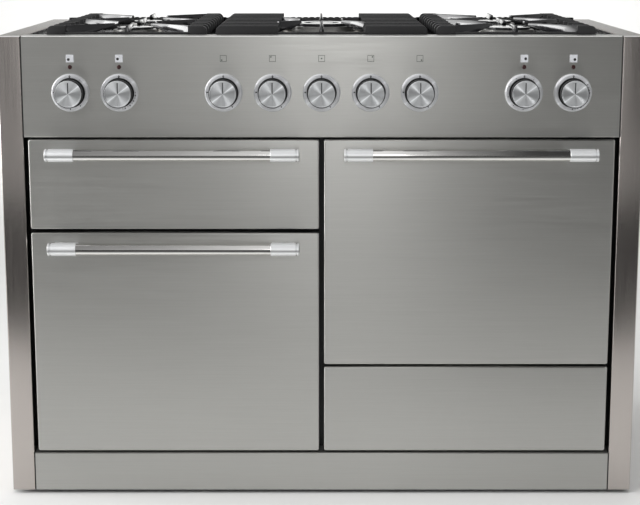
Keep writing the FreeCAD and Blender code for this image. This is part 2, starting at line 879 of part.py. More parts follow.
def gas_rail():
    """The pipe under the taps, its elbow to the back and the threaded inlet stub."""
    x0 = gas_knob_x[0] - pipe_end_gap / 2
    along = rod(pipe_radius, inlet_x - x0, V(x0, rail_y, rail_z), X_AXIS)
    elbow = Part.makeSphere(pipe_radius, V(inlet_x, rail_y, rail_z))
    stub_y = cover_y + sheet + seat_gap
    back = rod(pipe_radius, stub_y - rail_y, V(inlet_x, rail_y, rail_z), Y_AXIS)
    stub = rod(inlet_radius, back_y - stub_y, V(inlet_x, stub_y, rail_z), Y_AXIS)
    bore_start = V(inlet_x, back_y - inlet_bore_depth, rail_z)
    bore = rod(pipe_radius, inlet_bore_depth + overrun, bore_start, Y_AXIS)
    return joined([along, elbow, back, stub]).cut(bore)


def around(x, y, angle, shape):
    """The shape turned about an upright line."""
    turned = shape.copy()
    turned.rotate(V(x, y, 0), Z_AXIS, angle)
    return turned


def burner_base(x, y, size):
    """The cast cup under a burner and the disc that lies on the hob round it."""
    cup = rod(size[0] * burner_cup_share, burner_cup_depth, V(x, y, hob_z - burner_cup_depth), Z_AXIS)
    disc = rod(size[0] + burner_base_flange, burner_base_height, V(x, y, hob_z), Z_AXIS)
    rims = [e for e in disc.Edges if e.CenterOfMass.z > hob_z + burner_base_height / 2]
    disc = disc.makeChamfer(foot_chamfer, rims)
    return joined([cup, disc])


def burner_head(x, y, size):
    """The aluminium flame ring with its row of ports."""
    z = hob_z + burner_base_height
    head = rod(size[0], size[1], V(x, y, z), Z_AXIS)
    head = head.makeChamfer(foot_chamfer, [e for e in head.Edges if e.CenterOfMass.z > z + size[1] / 2])
    count = int(FULL_TURN / port_step)
    port = block(
        x + size[0] - port_depth,
        x + size[0] + overrun,
        y - port_width / 2,
        y + port_width / 2,
        z + size[1] - port_height - foot_chamfer,
        z + size[1] - foot_chamfer,
    )
    return without(head, [around(x, y, n * FULL_TURN / count, port) for n in range(count)])


def burner_cap(x, y, size):
    """The enamelled lid of a burner; the wok burner has a ring round a smaller lid."""
    z = hob_z + burner_base_height + size[1]
    lid = rod(size[2], cap_height, V(x, y, z), Z_AXIS)
    lid = lid.makeFillet(cap_round, [e for e in lid.Edges if e.CenterOfMass.z > z + cap_height / 2])
    if size != wok_burner:
        return [lid]
    inner = rod(size[2] * wok_lid_share, cap_height, V(x, y, z), Z_AXIS)
    inner = inner.makeFillet(cap_round, [e for e in inner.Edges if e.CenterOfMass.z > z + cap_height / 2])
    ring = lid.cut(rod(size[2] * wok_bore_share, cap_height + overrun * 2, V(x, y, z - overrun), Z_AXIS))
    return [ring, inner]


def electrode(x, y, size):
    """The ceramic spark pin beside a burner head."""
    reach = size[0] + electrode_gap + electrode_radius
    hand = -1 if x > 0 else 1
    return rod(
        electrode_radius, electrode_height, V(x + hand * reach, y, hob_z + burner_base_height), Z_AXIS
    )


def finger(x, y, angle, gap, half_x, half_y):
    """One upright arm that points at a burner, deep at its root and cut away below towards its tip."""
    turn = math.radians(angle)
    reach_x = half_x / max(abs(math.cos(turn)), tiny_share)
    reach_y = half_y / max(abs(math.sin(turn)), tiny_share)
    root = min(reach_x, reach_y)
    top = grate_top_z
    tip = top - finger_tip_height
    bend = gap + (root - gap) * finger_taper_share
    outline = [V(gap, 0, top), V(root, 0, top), V(root, 0, rib_z0), V(bend, 0, rib_z0), V(gap, 0, tip)]
    arm = plate([p - Y_AXIS * (finger_thickness / 2) for p in outline], finger_thickness, Y_AXIS)
    arm.translate(V(x, y, 0))
    return around(x, y, angle, arm)


def grate_wing(x_out, x_in):
    """One side of a pan support: ten cross ribs with soft outer corners on two long rails, and its feet."""
    pieces = []
    hand = 1 if x_out > x_in else -1
    x0, x1 = sorted((x_out, x_in))

    def outer_top(edge_middle):
        return abs(edge_middle.x - x_out) < sheet and edge_middle.z > rib_z0 + sheet

    for n in range(rib_count):
        y = grate_y0 + n * rib_pitch
        rib = block(x0, x1, y, y + rib_thickness, rib_z0, grate_top_z)
        pieces.append(rounded(rib, Y_AXIS, rib_corner_radius, outer_top))
    y1 = grate_y0 + grate_length
    for edge in (x_out - hand * rail_inset, x_in + hand * rail_width):
        a, b = sorted((edge, edge - hand * rail_width))
        pieces.append(block(a, b, grate_y0 + sheet, y1 - sheet, rib_z0, rib_z0 + rail_height))
        for n in (0, rib_count - 1):
            y0 = grate_y0 + n * rib_pitch + sheet / 2
            pieces.append(block(a, b, y0, y0 + rib_thickness - sheet, rib_z0 - foot_height, rib_z0))
    return pieces


def pan_support(x, width, wing, cells):
    """A cast pan support: two ribbed wings, bars between them and arms round each burner."""
    half = width / 2
    gap_x = half - wing + rail_width / 2
    y1 = grate_y0 + grate_length
    pieces = grate_wing(x - half, x - half + wing) + grate_wing(x + half, x + half - wing)
    bars = [grate_y0, y1 - rib_thickness]
    if len(cells) > 1:
        bars.append((grate_y0 + y1 - rib_thickness) / 2)
    bar_top = rib_z0 + bar_rise
    for y in bars:
        pieces.append(block(x - gap_x, x + gap_x, y, y + rib_thickness, bar_top - bar_height, bar_top))
    middles = sorted(y + rib_thickness / 2 for y in bars)
    for bx, by, gap in cells:
        below = max(m for m in middles if m < by)
        above = min(m for m in middles if m > by)
        for angle in front_finger_angles:
            pieces.append(finger(bx, by, angle, gap, gap_x, by - below))
        for angle in rear_finger_angles:
            pieces.append(finger(bx, by, angle, gap, gap_x, above - by))
    return joined(pieces)


def rack(side, z0, height):
    """A wire oven rack whose side wires slide between the pressed ledges; the cross wires are thinner."""
    x = side * column_mid
    r = rack_frame_wire / 2
    half = cavity_width / 2 - rack_side_gap - r
    z = z0 + height * ledge_levels[1] + ledge_height + r + slide_gap
    y0 = cavity_y + rack_front_gap
    y1 = y0 + rack_depth
    pieces = [rod(r, y1 - y0, V(x + hand * half, y0, z), Y_AXIS) for hand in (-1, 1)]
    cross_y0, cross_y1 = y0 + rack_cross_inset, y1 - rack_cross_inset
    for y in (cross_y0, cross_y1):
        pieces.append(rod(rack_cross_wire / 2, half * 2, V(x - half, y, z), X_AXIS))
    step = half * 2 / (rack_bars + 1)
    for n in range(rack_bars):
        px = x - half + step * (n + 1)
        pieces.append(rod(rack_wire / 2, cross_y1 - cross_y0, V(px, cross_y0, z + rack_wire_lift), Y_AXIS))
    return joined(pieces)


def grill_pan():
    """The enamelled pan, hung by its side lips on the grill ledges."""
    x = -column_mid
    half = cavity_width / 2 - ledge_width - rack_side_gap
    top = grill_z0 + grill_height * grill_level + ledge_height + slide_gap + pan_wall
    y0 = cavity_y + rack_front_gap
    body = block(x - half, x + half, y0, y0 + pan_depth, top - pan_height, top)
    body = rounded(body, Z_AXIS, pan_corner_radius)
    bowl = block(x - half + pan_wall, x + half - pan_wall, y0 + pan_wall, y0 + pan_depth - pan_wall,
                 top - pan_height + pan_wall, top + overrun)
    body = body.cut(rounded(bowl, Z_AXIS, pan_corner_radius - pan_wall))
    lips = []
    lip_y0, lip_y1 = y0 + pan_corner_radius, y0 + pan_depth - pan_corner_radius
    for hand in (-1, 1):
        a, b = sorted((x + hand * (half - pan_wall / 2), x + hand * (half + pan_rail_width)))
        lips.append(block(a, b, lip_y0, lip_y1, top - pan_wall, top))
    grip = block(x - pan_grip_width / 2, x + pan_grip_width / 2, y0 - pan_grip_reach, y0 + pan_wall / 2,
                 top - pan_wall, top)
    return joined([body, grip] + lips)


def grill_element():
    """The grill's bent tube, four runs deep, with both ends in the back wall."""
    x = -column_mid
    z = grill_z0 + grill_height - element_drop
    back = cavity_y + grill_depth
    near = cavity_y + element_margin + element_bend
    far = back - element_margin - element_bend
    pieces = []
    first = -(element_runs - 1) * element_bend
    for n in range(element_runs):
        px = x + first + n * element_bend * 2
        end = back if n in (0, element_runs - 1) else far
        pieces.append(rod(element_radius, end - near, V(px, near, z), Y_AXIS))
    for n in range(element_runs - 1):
        middle = x + first + (2 * n + 1) * element_bend
        y = near if n % 2 == 0 else far
        start = FULL_TURN / 2 if n % 2 == 0 else 0.0
        bend = Part.makeTorus(element_bend, element_radius, V(0, 0, 0), Z_AXIS, 0, FULL_TURN, FULL_TURN / 2)
        bend.rotate(V(0, 0, 0), Z_AXIS, start)
        bend.translate(V(middle, y, z))
        pieces.append(bend)
    return joined(pieces)


def fan_place(side, z0, height, depth):
    """The middle of an oven's back wall."""
    return V(side * column_mid, cavity_y + depth, z0 + height / 2)


def ring_element(place):
    """The fan oven's ring element with two tails in the back wall."""
    y = place.y - ring_back_gap
    ring = Part.makeTorus(ring_radius, ring_tube, V(place.x, y, place.z), Y_AXIS)
    tail = ring_tube * ring_tail_share
    tails = [
        rod(tail, ring_back_gap, V(place.x + hand * ring_radius, y, place.z), Y_AXIS) for hand in (-1, 1)
    ]
    return joined([ring] + tails)


def fan_baffle(place):
    """The cover over the fan: a shallow box with a round grid and side slots."""
    w, h = baffle_width / 2, baffle_height / 2
    y0 = place.y - baffle_depth
    box = block(place.x - w, place.x + w, y0, place.y, place.z - h, place.z + h)
    box = rounded(box, Y_AXIS, pan_corner_radius)
    inner = block(place.x - w + sheet, place.x + w - sheet, y0 + sheet, place.y + overrun,
                  place.z - h + sheet, place.z + h - sheet)
    tools = [rounded(inner, Y_AXIS, pan_corner_radius - sheet)]
    for n in range(baffle_slots):
        dz = (n - (baffle_slots - 1) / 2) * baffle_slot_pitch
        reach = math.sqrt(baffle_vent_radius ** 2 - dz ** 2)
        tools.append(block(place.x - reach, place.x + reach, y0 - overrun, y0 + sheet * 2,
                           place.z + dz - baffle_slot_width / 2, place.z + dz + baffle_slot_width / 2))
    for hand in (-1, 1):
        for n in range(baffle_side_slots):
            z = place.z + (n - (baffle_side_slots - 1) / 2) * baffle_side_pitch
            a, b = sorted((place.x + hand * (w - sheet * 2), place.x + hand * (w + overrun)))
            slot_y0, slot_y1 = y0 + baffle_slot_margin, place.y - baffle_slot_margin
            tools.append(block(a, b, slot_y0, slot_y1, z - baffle_slot_width, z + baffle_slot_width))
    return without(box, tools)


def fan(place):
    """A centrifugal wheel: back disc, hub, shaft and straight blades."""
    y1 = place.y - fan_back_gap
    disc = rod(fan_radius, fan_blade_thickness, V(place.x, y1 - fan_blade_thickness, place.z), Y_AXIS)
    y0 = y1 - fan_blade_thickness - fan_blade_depth
    hub = rod(fan_hub_radius, fan_blade_depth, V(place.x, y0, place.z), Y_AXIS)
    shaft = rod(fan_shaft_radius, fan_back_gap + fan_shaft_grip, V(place.x, y1, place.z), Y_AXIS)
    blade = block(place.x + fan_blade_start, place.x + fan_radius - sheet, y0, y1,
                  place.z - fan_blade_thickness / 2, place.z + fan_blade_thickness / 2)
    pieces = [disc, hub, shaft]
    for n in range(fan_blades):
        turned = blade.copy()
        turned.rotate(place, Y_AXIS, n * FULL_TURN / fan_blades)
        pieces.append(turned)
    return joined(pieces)


def fan_motor(place):
    """The motor behind an oven's back wall, bored for the fan shaft."""
    y0 = place.y + enamel_sheet
    flange = rod(motor_radius + motor_flange, motor_flange_depth, V(place.x, y0, place.z), Y_AXIS)
    body = rod(motor_radius, motor_length, V(place.x, y0 + motor_flange_depth, place.z), Y_AXIS)
    bore_start = V(place.x, y0 - overrun, place.z)
    bore = rod(fan_shaft_radius + bore_gap, fan_shaft_grip + overrun, bore_start, Y_AXIS)
    return joined([flange, body]).cut(bore)


def drawer_front():
    """The drawer's pressed front."""
    return door_skin(1, drawer_bottom_z, drawer_top_z, [])


def drawer_box():
    """The tray behind the drawer front, with the slide beads along its sides."""
    y0 = front_y + skin_depth
    middle = (drawer_bottom_z + drawer_top_z) / 2
    half = drawer_width / 2
    z0, z1 = middle - drawer_height / 2, middle + drawer_height / 2
    y1 = y0 + drawer_depth
    wall = drawer_wall
    face = block(column_in, column_out, y0, y0 + wall, drawer_bottom_z, drawer_top_z)
    face = rounded(face, Y_AXIS, door_corner_radius)
    inner = half - wall
    body = block(column_mid - half, column_mid + half, y0, y1, z0, z1)
    body = body.cut(
        block(column_mid - inner, column_mid + inner, y0 + wall, y1 - wall, z0 + wall, z1 + overrun)
    )
    beads = []
    bead_z0, bead_z1 = middle - bead_height / 2, middle + bead_height / 2
    for hand in (-1, 1):
        a, b = sorted((column_mid + hand * (half - wall / 2), column_mid + hand * (half + bead_width)))
        beads.append(block(a, b, cavity_y + sheet, y1, bead_z0, bead_z1))
    return joined([face, body] + beads)


def drawer_runners():
    """Two fixed channels that the drawer's beads run in, on flanges behind the frame."""
    middle = (drawer_bottom_z + drawer_top_z) / 2
    channels = []
    for hand in (-1, 1):
        near = column_mid + hand * (drawer_width / 2 + runner_gap)
        far = near + hand * runner_width
        a, b = sorted((near, far))
        half_in = bead_height / 2 + slide_gap
        y1 = front_y + skin_depth + drawer_depth
        z0, z1 = middle - half_in - drawer_wall, middle + half_in + drawer_wall
        bar = block(a, b, cavity_y, y1, z0, z1)
        web = far - hand * drawer_wall
        c, d = sorted((near - hand * overrun, web))
        bar = bar.cut(block(c, d, cavity_y - overrun, y1 + overrun, middle - half_in, middle + half_in))
        e, f = sorted((web, far + hand * runner_flange))
        flange = block(e, f, cavity_y, cavity_y + drawer_wall, z0, z1)
        channels.append(joined([bar, flange]))
    return channels


def main():
    os.makedirs(OUT, exist_ok=True)
    save("side_panels", side_panel(-1), side_panel(1))
    save("back_panel", back_cover())
    save("base_tray", base_frame())
    save("front_frame", front_frame())
    save("control_panel", control_panel())
    save("plinth", plinth())
    save("hob_plate", hob_tray())
    save("flue_grille", flue_grille())
    save("front_feet", *front_feet())
    save("rear_rollers", rear_rollers())

    # Cavities with what hangs in them
    places = {}
    for name, side, bottom, top, z0, height, depth in door_rows:
        places[name] = fan_place(side, z0, height, depth)
    ovens = [row for row in door_rows if row[0] != "grill"]
    save("grill_cavity", cavity(-1, grill_z0, grill_height, grill_depth, (grill_level,)))
    save("oven_cavities", *[cavity(r[1], r[4], r[5], r[6], ledge_levels) for r in ovens])
    save("heating_elements", grill_element(), *[ring_element(places[r[0]]) for r in ovens])
    save("fan_baffles", *[fan_baffle(places[r[0]]) for r in ovens])
    save("fan_motors", *[fan_motor(places[r[0]]) for r in ovens])
    for r in ovens:
        save(r[0] + "_fan", fan(places[r[0]]))
        save(r[0] + "_rack", rack(r[1], r[4], r[5]))
    save("grill_pan", grill_pan())

    # Doors and drawer
    arms = []
    seals = []
    for name, side, bottom, top, z0, height, depth in door_rows:
        hinges = hinge_places(side)
        save(name + "_door_skin", door_skin(side, bottom, top, hinges))
        save(name + "_door_liner", door_liner(side, bottom, top, z0, height))
        save(name + "_handle", *handle(side, top))
        arms += [hinge_arm(x, bottom) for x in hinges]
        seals.append(door_seal(side, z0, height))
    save("hinge_arms", *arms)
    save("door_seals", *seals)
    save("drawer_front", drawer_front())
    save("drawer_box", drawer_box())
    save("drawer_runners", *drawer_runners())

    # Controls
    save("bezels", *[bezel(x) for x in all_knob_x])
    save("neon_lamps", *[neon_lamp(x) for x in neon_x])
    save("electric_switches", *[electric_switch(x) for x in neon_x])
    save("gas_taps", *[gas_tap(x) for x in gas_knob_x])
    save("gas_manifold", gas_rail())
    for name, x in zip(electric_names, neon_x):
        save(name, knob(x))
    for name, x in zip(gas_names, gas_knob_x):
        save("knob_" + name, knob(x))
        save("spindle_" + name, spindle(x))

    # Hob
    save("burner_bases", *[burner_base(*row) for row in burners])
    save("burner_heads", *[burner_head(*row) for row in burners])
    save("burner_caps", *[lid for row in burners for lid in burner_cap(*row)])
    save("electrodes", *[electrode(*row) for row in burners])
    gaps = {True: wok_finger_gap_radius, False: finger_gap_radius}
    cells = [(x, y, gaps[size == wok_burner]) for x, y, size in burners]
    left = [cell for cell in cells if cell[0] < 0]
    middle = [cell for cell in cells if cell[0] == 0]
    right = [cell for cell in cells if cell[0] > 0]
    save("pan_support_left", pan_support(-side_grate_x, side_grate_width, side_wing_width, left))
    save("pan_support_centre", pan_support(0.0, centre_grate_width, centre_wing_width, middle))
    save("pan_support_right", pan_support(side_grate_x, side_grate_width, side_wing_width, right))


main()
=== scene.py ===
# %% [markdown]
# # A 1.2 m dual fuel range cooker
# Brushed steel doors and fascia, spun aluminium knobs, polished bar handles and black cast pan supports.
# The solids come from the frame, already at their real size. This script gives each one its finish, and
# makes again, with finer edges, the turned and polished pieces that the eye goes to first.

# %% Load the frame
import math

import bmesh
import bpy
from mathutils import Matrix, Vector


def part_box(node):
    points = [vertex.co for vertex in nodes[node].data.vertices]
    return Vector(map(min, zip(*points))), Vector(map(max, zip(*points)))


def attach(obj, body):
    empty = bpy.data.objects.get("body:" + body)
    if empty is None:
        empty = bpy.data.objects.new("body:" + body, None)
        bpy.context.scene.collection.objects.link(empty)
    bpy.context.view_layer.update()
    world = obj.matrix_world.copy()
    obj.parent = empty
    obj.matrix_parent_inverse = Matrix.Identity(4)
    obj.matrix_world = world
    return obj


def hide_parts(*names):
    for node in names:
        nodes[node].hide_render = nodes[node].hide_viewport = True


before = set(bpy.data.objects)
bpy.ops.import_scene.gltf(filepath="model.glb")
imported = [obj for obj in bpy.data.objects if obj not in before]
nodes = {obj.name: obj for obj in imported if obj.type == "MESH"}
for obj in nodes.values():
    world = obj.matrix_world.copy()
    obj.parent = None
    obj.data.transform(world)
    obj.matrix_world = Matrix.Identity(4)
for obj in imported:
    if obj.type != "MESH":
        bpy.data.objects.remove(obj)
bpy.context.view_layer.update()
scene = bpy.context.scene

# %% [markdown]
# ## Sizes that the whole scene shares
# Every place is read from a node's own box, so that a piece made here sits exactly where the solid is.
# The places could be typed in by hand, but they would drift from the solids at the first change. One
# millimetre is the unit in which a maker thinks of these pieces.

# %% Shared sizes
MM = 0.001
FULL_TURN = math.tau
X_AXIS, Y_AXIS, Z_AXIS = (1, 0, 0), (0, 1, 0), (0, 0, 1)
fascia_low, fascia_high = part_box("control_panel")
front_y = fascia_low.y
door_names = ("grill", "left_oven", "right_oven")
electric_knobs = ("knob_grill", "knob_left_oven", "knob_right_oven_mode", "knob_right_oven_heat")
gas_places = ("front_left", "rear_left", "centre", "rear_right", "front_right")
gas_knobs = tuple("knob_" + place for place in gas_places)
all_knobs = electric_knobs + gas_knobs
print("front of the fascia at y =", round(front_y, 4), "with", len(all_knobs), "knobs")

# %% [markdown]
# ## The camera
# The photograph was taken from the front with a lens shifted far down, so that the uprights stay upright.
# A shift that large would push the cooker out of every other view. A longer lens from further off, tilted
# a little, with a small shift, gives nearly the same picture.

# %% Camera
CAMERA_DISTANCE = 2.80
CAMERA_HEIGHT = 1.073
CAMERA_PITCH = math.radians(10.21)
CAMERA_LENS = 84.0
CAMERA_SENSOR = 36.0
CAMERA_X = -0.003
CAMERA_SHIFT = -0.067

camera_data = bpy.data.cameras.new("camera")
camera = bpy.data.objects.new("camera", camera_data)
scene.collection.objects.link(camera)
camera_data.sensor_width = CAMERA_SENSOR
camera_data.lens = CAMERA_LENS
camera_data.shift_y = CAMERA_SHIFT
camera.location = (CAMERA_X, front_y - CAMERA_DISTANCE, CAMERA_HEIGHT)
camera.rotation_euler = (math.pi / 2 - CAMERA_PITCH, 0.0, 0.0)
scene.camera = camera
print("camera", [round(v, 3) for v in camera.location])

# %% [markdown]
# ## Floor, backdrop and light
# A pale floor runs up into a pale backdrop in one curve, so that no horizon shows. The backdrop stands far
# enough back for a camera to go round the cooker in front of it. Polished metal shows whatever stands
# round it, so the studio is bright straight in front and dimmer to both sides, which gives the steel the
# soft change of tone that it has in the photograph. A low dark card in front, seen only in reflections,
# darkens the foot of what the polished pieces show.


# %% Stage helpers
def link(obj):
    """Puts an object in the scene and returns it."""
    scene.collection.objects.link(obj)
    return obj


def mesh_object(name, vertices, faces):
    """An object from plain lists of points and faces."""
    mesh = bpy.data.meshes.new(name)
    mesh.from_pydata(vertices, [], faces)
    mesh.update()
    return link(bpy.data.objects.new(name, mesh))


def new_material(name):
    """A material with its node tree and its main shader."""
    material = bpy.data.materials.new(name)
    material.use_nodes = True
    return material, material.node_tree, material.node_tree.nodes["Principled BSDF"]


def grey(tone):
    """A grey with its alpha."""
    return (tone, tone, tone, 1.0)


# %% Floor and backdrop
FLOOR_REACH = 10.0
BACKDROP_START = 5.8
BACKDROP_RADIUS = 1.6
BACKDROP_HEIGHT = 7.0
SWEEP_STEPS = 16
FLOOR_TONE = (0.87, 0.87, 0.86, 1.0)
FLOOR_ROUGHNESS = 0.7

profile = [(-FLOOR_REACH, 0.0), (BACKDROP_START, 0.0)]
for step in range(1, SWEEP_STEPS + 1):
    turn = step / SWEEP_STEPS * math.pi / 2
    sweep_y = BACKDROP_START + BACKDROP_RADIUS * math.sin(turn)
    profile.append((sweep_y, BACKDROP_RADIUS * (1.0 - math.cos(turn))))
profile.append((BACKDROP_START + BACKDROP_RADIUS, BACKDROP_HEIGHT))
sweep_points = [(side * FLOOR_REACH, y, z) for y, z in profile for side in (-1, 1)]
sweep_faces = [(2 * n, 2 * n + 1, 2 * n + 3, 2 * n + 2) for n in range(len(profile) - 1)]
floor = mesh_object("floor_sweep", sweep_points, sweep_faces)
floor_material, _, floor_shader = new_material("floor_paper")
floor_shader.inputs["Base Color"].default_value = FLOOR_TONE
floor_shader.inputs["Roughness"].default_value = FLOOR_ROUGHNESS
floor.data.materials.append(floor_material)
for face in floor.data.polygons:
    face.use_smooth = True
print("floor and backdrop:", len(sweep_faces), "strips")

# %% Lamps
LAMPS = {
    # name: place, aim, size across, size up, watts
    "front_box": ((0.10, -5.2, 1.5), (0.0, 0.0, 0.6), 0.7, 2.2, 9.0),
    "side_box": ((-3.2, -0.5, 1.15), (0.0, 0.0, 0.75), 1.8, 1.7, 56.0),
    "top_box": ((0.1, -0.3, 3.4), (0.0, 0.0, 0.6), 2.4, 1.6, 42.0),
    "right_spot": ((2.3, -2.6, 2.1), (0.0, -0.3, 0.8), 0.35, 0.35, 20.0),
    "left_spot": ((-2.1, -2.8, 2.7), (0.0, -0.3, 0.8), 0.9, 0.9, 20.0),
    "backdrop_lamp": ((0.0, 4.0, 3.2), (0.0, 7.2, 1.0), 4.0, 1.0, 130.0),
}
for name, (place, aim, width, height, watts) in LAMPS.items():
    lamp_data = bpy.data.lights.new(name, "AREA")
    lamp_data.shape = "RECTANGLE"
    lamp_data.size = width
    lamp_data.size_y = height
    lamp_data.energy = watts
    lamp = link(bpy.data.objects.new(name, lamp_data))
    lamp.location = place
    lamp.rotation_euler = (Vector(aim) - Vector(place)).to_track_quat("-Z", "Y").to_euler()
    lamp.visible_glossy = name != "top_box"
print("lamps:", len(LAMPS))

# %% Dark card
CARD_REACH = 1.9
CARD_DISTANCE = 1.3
CARD_HEIGHT = 0.42
CARD_TONE = 0.03
CARD_ROUGHNESS = 0.9
card_y = front_y - CARD_DISTANCE
card_corners = ((-1, 0.0), (1, 0.0), (1, CARD_HEIGHT), (-1, CARD_HEIGHT))
card_points = [(side * CARD_REACH, card_y, z) for side, z in card_corners]
card = mesh_object("dark_card", card_points, [(0, 1, 2, 3)])
card_material, _, card_shader = new_material("card_cloth")
card_shader.inputs["Base Color"].default_value = grey(CARD_TONE)
card_shader.inputs["Roughness"].default_value = CARD_ROUGHNESS
card.data.materials.append(card_material)
card.visible_camera = False
card.visible_diffuse = False
card.visible_shadow = False
print("card: y =", round(card_y, 3), "height", CARD_HEIGHT)

# %% [markdown]
# ## The room that the metal reflects
# Steel without a room to reflect looks flat and grey. A picture of a real room could stand round the
# cooker, but two ramps multiplied are enough and can be set to match the photograph: one runs from the
# left of the room to the right, the other from the floor to the ceiling. A narrow bright band at the far
# left lights every edge that faces left.


# %% Node helpers
def add(tree, kind, **settings):
    """A node of a kind, with its settings."""
    node = tree.nodes.new(kind)
    for key, value in settings.items():
        setattr(node, key, value)
    return node


def wire(tree, *pairs):
    """Links pairs of sockets."""
    for source, target in pairs:
        tree.links.new(source, target)


def ramp(tree, stops):
    """A colour ramp with the given (position, colour) stops."""
    node = add(tree, "ShaderNodeValToRGB")
    elements = node.color_ramp.elements
    while len(elements) > 1:
        elements.remove(elements[-1])
    elements[0].position, elements[0].color = stops[0]
    for position, colour in stops[1:]:
        elements.new(position).color = colour
    return node


# noise seldom leaves this range
NOISE_LOW, NOISE_HIGH = 0.3, 0.7


def spread(tree, value, low, high, start=NOISE_LOW, end=NOISE_HIGH):
    """A value stretched from start..end to low..high."""
    node = add(tree, "ShaderNodeMapRange")
    node.inputs["From Min"].default_value = start
    node.inputs["From Max"].default_value = end
    node.inputs["To Min"].default_value = low
    node.inputs["To Max"].default_value = high
    wire(tree, (value, node.inputs["Value"]))
    return node.outputs["Result"]


# the places of the colour sockets on a mix node
MIX_FIRST, MIX_SECOND, MIX_RESULT = 6, 7, 2


def multiplied(tree, first, second):
    """Two colours multiplied with each other."""
    node = add(tree, "ShaderNodeMix", data_type="RGBA", blend_type="MULTIPLY")
    node.inputs["Factor"].default_value = 1.0
    wire(tree, (first, node.inputs[MIX_FIRST]), (second, node.inputs[MIX_SECOND]))
    return node.outputs[MIX_RESULT]


# %% World
WORLD_ACROSS = [
    # share of the way from the left to the right, tone
    (0.0, 4.4), (0.05, 4.4), (0.08, 0.792), (0.25, 0.66), (0.36, 0.352), (0.41, 0.246), (0.45, 0.44),
    (0.49, 0.968), (0.522, 1.1), (0.544, 0.334), (0.570, 0.053), (0.64, 0.053), (0.80, 0.211), (1.0, 0.264),
]
WORLD_UP = [
    # share of the way from straight down to straight up, tone
    (0.35, 0.60), (0.47, 0.78), (0.50, 1.0), (0.60, 0.95), (0.75, 0.85), (1.0, 0.80),
]
world = bpy.data.worlds.new("studio")
scene.world = world
world.use_nodes = True
sky = world.node_tree
direction = add(sky, "ShaderNodeTexCoord")
split = add(sky, "ShaderNodeSeparateXYZ")
wire(sky, (direction.outputs["Generated"], split.inputs[0]))


def tone_along(part, stops):
    """The tone that the stops give along one part of a direction, which runs from -1 to 1."""
    share = spread(sky, split.outputs[part], 0.0, 1.0, -1.0, 1.0)
    node = ramp(sky, [(position, grey(tone)) for position, tone in stops])
    wire(sky, (share, node.inputs["Fac"]))
    return node.outputs["Color"]


room = multiplied(sky, tone_along("X", WORLD_ACROSS), tone_along("Z", WORLD_UP))
background = sky.nodes["Background"]
wire(sky, (room, background.inputs["Color"]))
background.inputs["Strength"].default_value = 1.0
scene.view_settings.view_transform = "Standard"
print("world stops:", len(WORLD_ACROSS), "across,", len(WORLD_UP), "up")

# %% [markdown]
# ## Finishes
# The fronts are brushed stainless steel, the hob is black enamel and the rear is coated with zinc. A
# picture of each metal could be wrapped round the solids, but it would smear wherever a face turns. So
# each finish is worked out from Object coordinates in metres: its grain has a real size and stays put
# when a door swings. Brushed steel is one noise stretched along the brushing. It moves the tone and the
# roughness a little, and a fine bump gives the hairlines. The highlight is drawn out across the grain.


# %% Finish helpers
def grain(tree, size, detail=2.0):
    """Noise whose grains measure size = (x, y, z) in metres. Returns its strength."""
    place = add(tree, "ShaderNodeTexCoord")
    mapping = add(tree, "ShaderNodeMapping")
    mapping.inputs["Scale"].default_value = [1.0 / s for s in size]
    noise = add(tree, "ShaderNodeTexNoise")
    noise.inputs["Scale"].default_value = 1.0
    noise.inputs["Detail"].default_value = detail
    wire(
        tree,
        (place.outputs["Object"], mapping.inputs["Vector"]),
        (mapping.outputs["Vector"], noise.inputs["Vector"]),
    )
    return noise.outputs["Fac"]


def tinted(tree, value, low, high, start=NOISE_LOW, end=NOISE_HIGH):
    """A colour that runs from low to high with a value."""
    node = ramp(tree, [(start, (*low, 1.0)), (end, (*high, 1.0))])
    wire(tree, (value, node.inputs["Fac"]))
    return node.outputs["Color"]


def relief(tree, shader, value, depth):
    """A bump of a real depth in metres."""
    node = add(tree, "ShaderNodeBump")
    node.inputs["Distance"].default_value = depth
    node.inputs["Strength"].default_value = 1.0
    wire(tree, (value, node.inputs["Height"]), (node.outputs["Normal"], shader.inputs["Normal"]))


def around(colour, share):
    """A colour made a share darker and a share lighter."""
    return [tuple(part * level for part in colour) for level in (1.0 - share, 1.0 + share)]


def draw_out(tree, shader, share, direction):
    """Draws the highlight out, with the tangent along an object-space direction."""
    turn = add(tree, "ShaderNodeVectorTransform", convert_from="OBJECT", convert_to="WORLD")
    turn.vector_type = "VECTOR"
    wire(tree, (direction, turn.inputs["Vector"]), (turn.outputs["Vector"], shader.inputs["Tangent"]))
    shader.inputs["Anisotropic"].default_value = share


# %% A finish with one grain
COAT_ROUGHNESS = 0.08


def finish(name, colour, metallic, roughness, grain_size, tone_share, rough_share, depth, coat=0.0):
    """A finish whose tone, roughness and relief all follow one grain."""
    material, tree, shader = new_material(name)
    value = grain(tree, grain_size)
    rough = spread(tree, value, roughness * (1.0 - rough_share), roughness * (1.0 + rough_share))
    wire(
        tree,
        (tinted(tree, value, *around(colour, tone_share)), shader.inputs["Base Color"]),
        (rough, shader.inputs["Roughness"]),
    )
    if depth:
        relief(tree, shader, value, depth)
    shader.inputs["Metallic"].default_value = metallic
    shader.inputs["Coat Weight"].default_value = coat
    shader.inputs["Coat Roughness"].default_value = COAT_ROUGHNESS
    return material


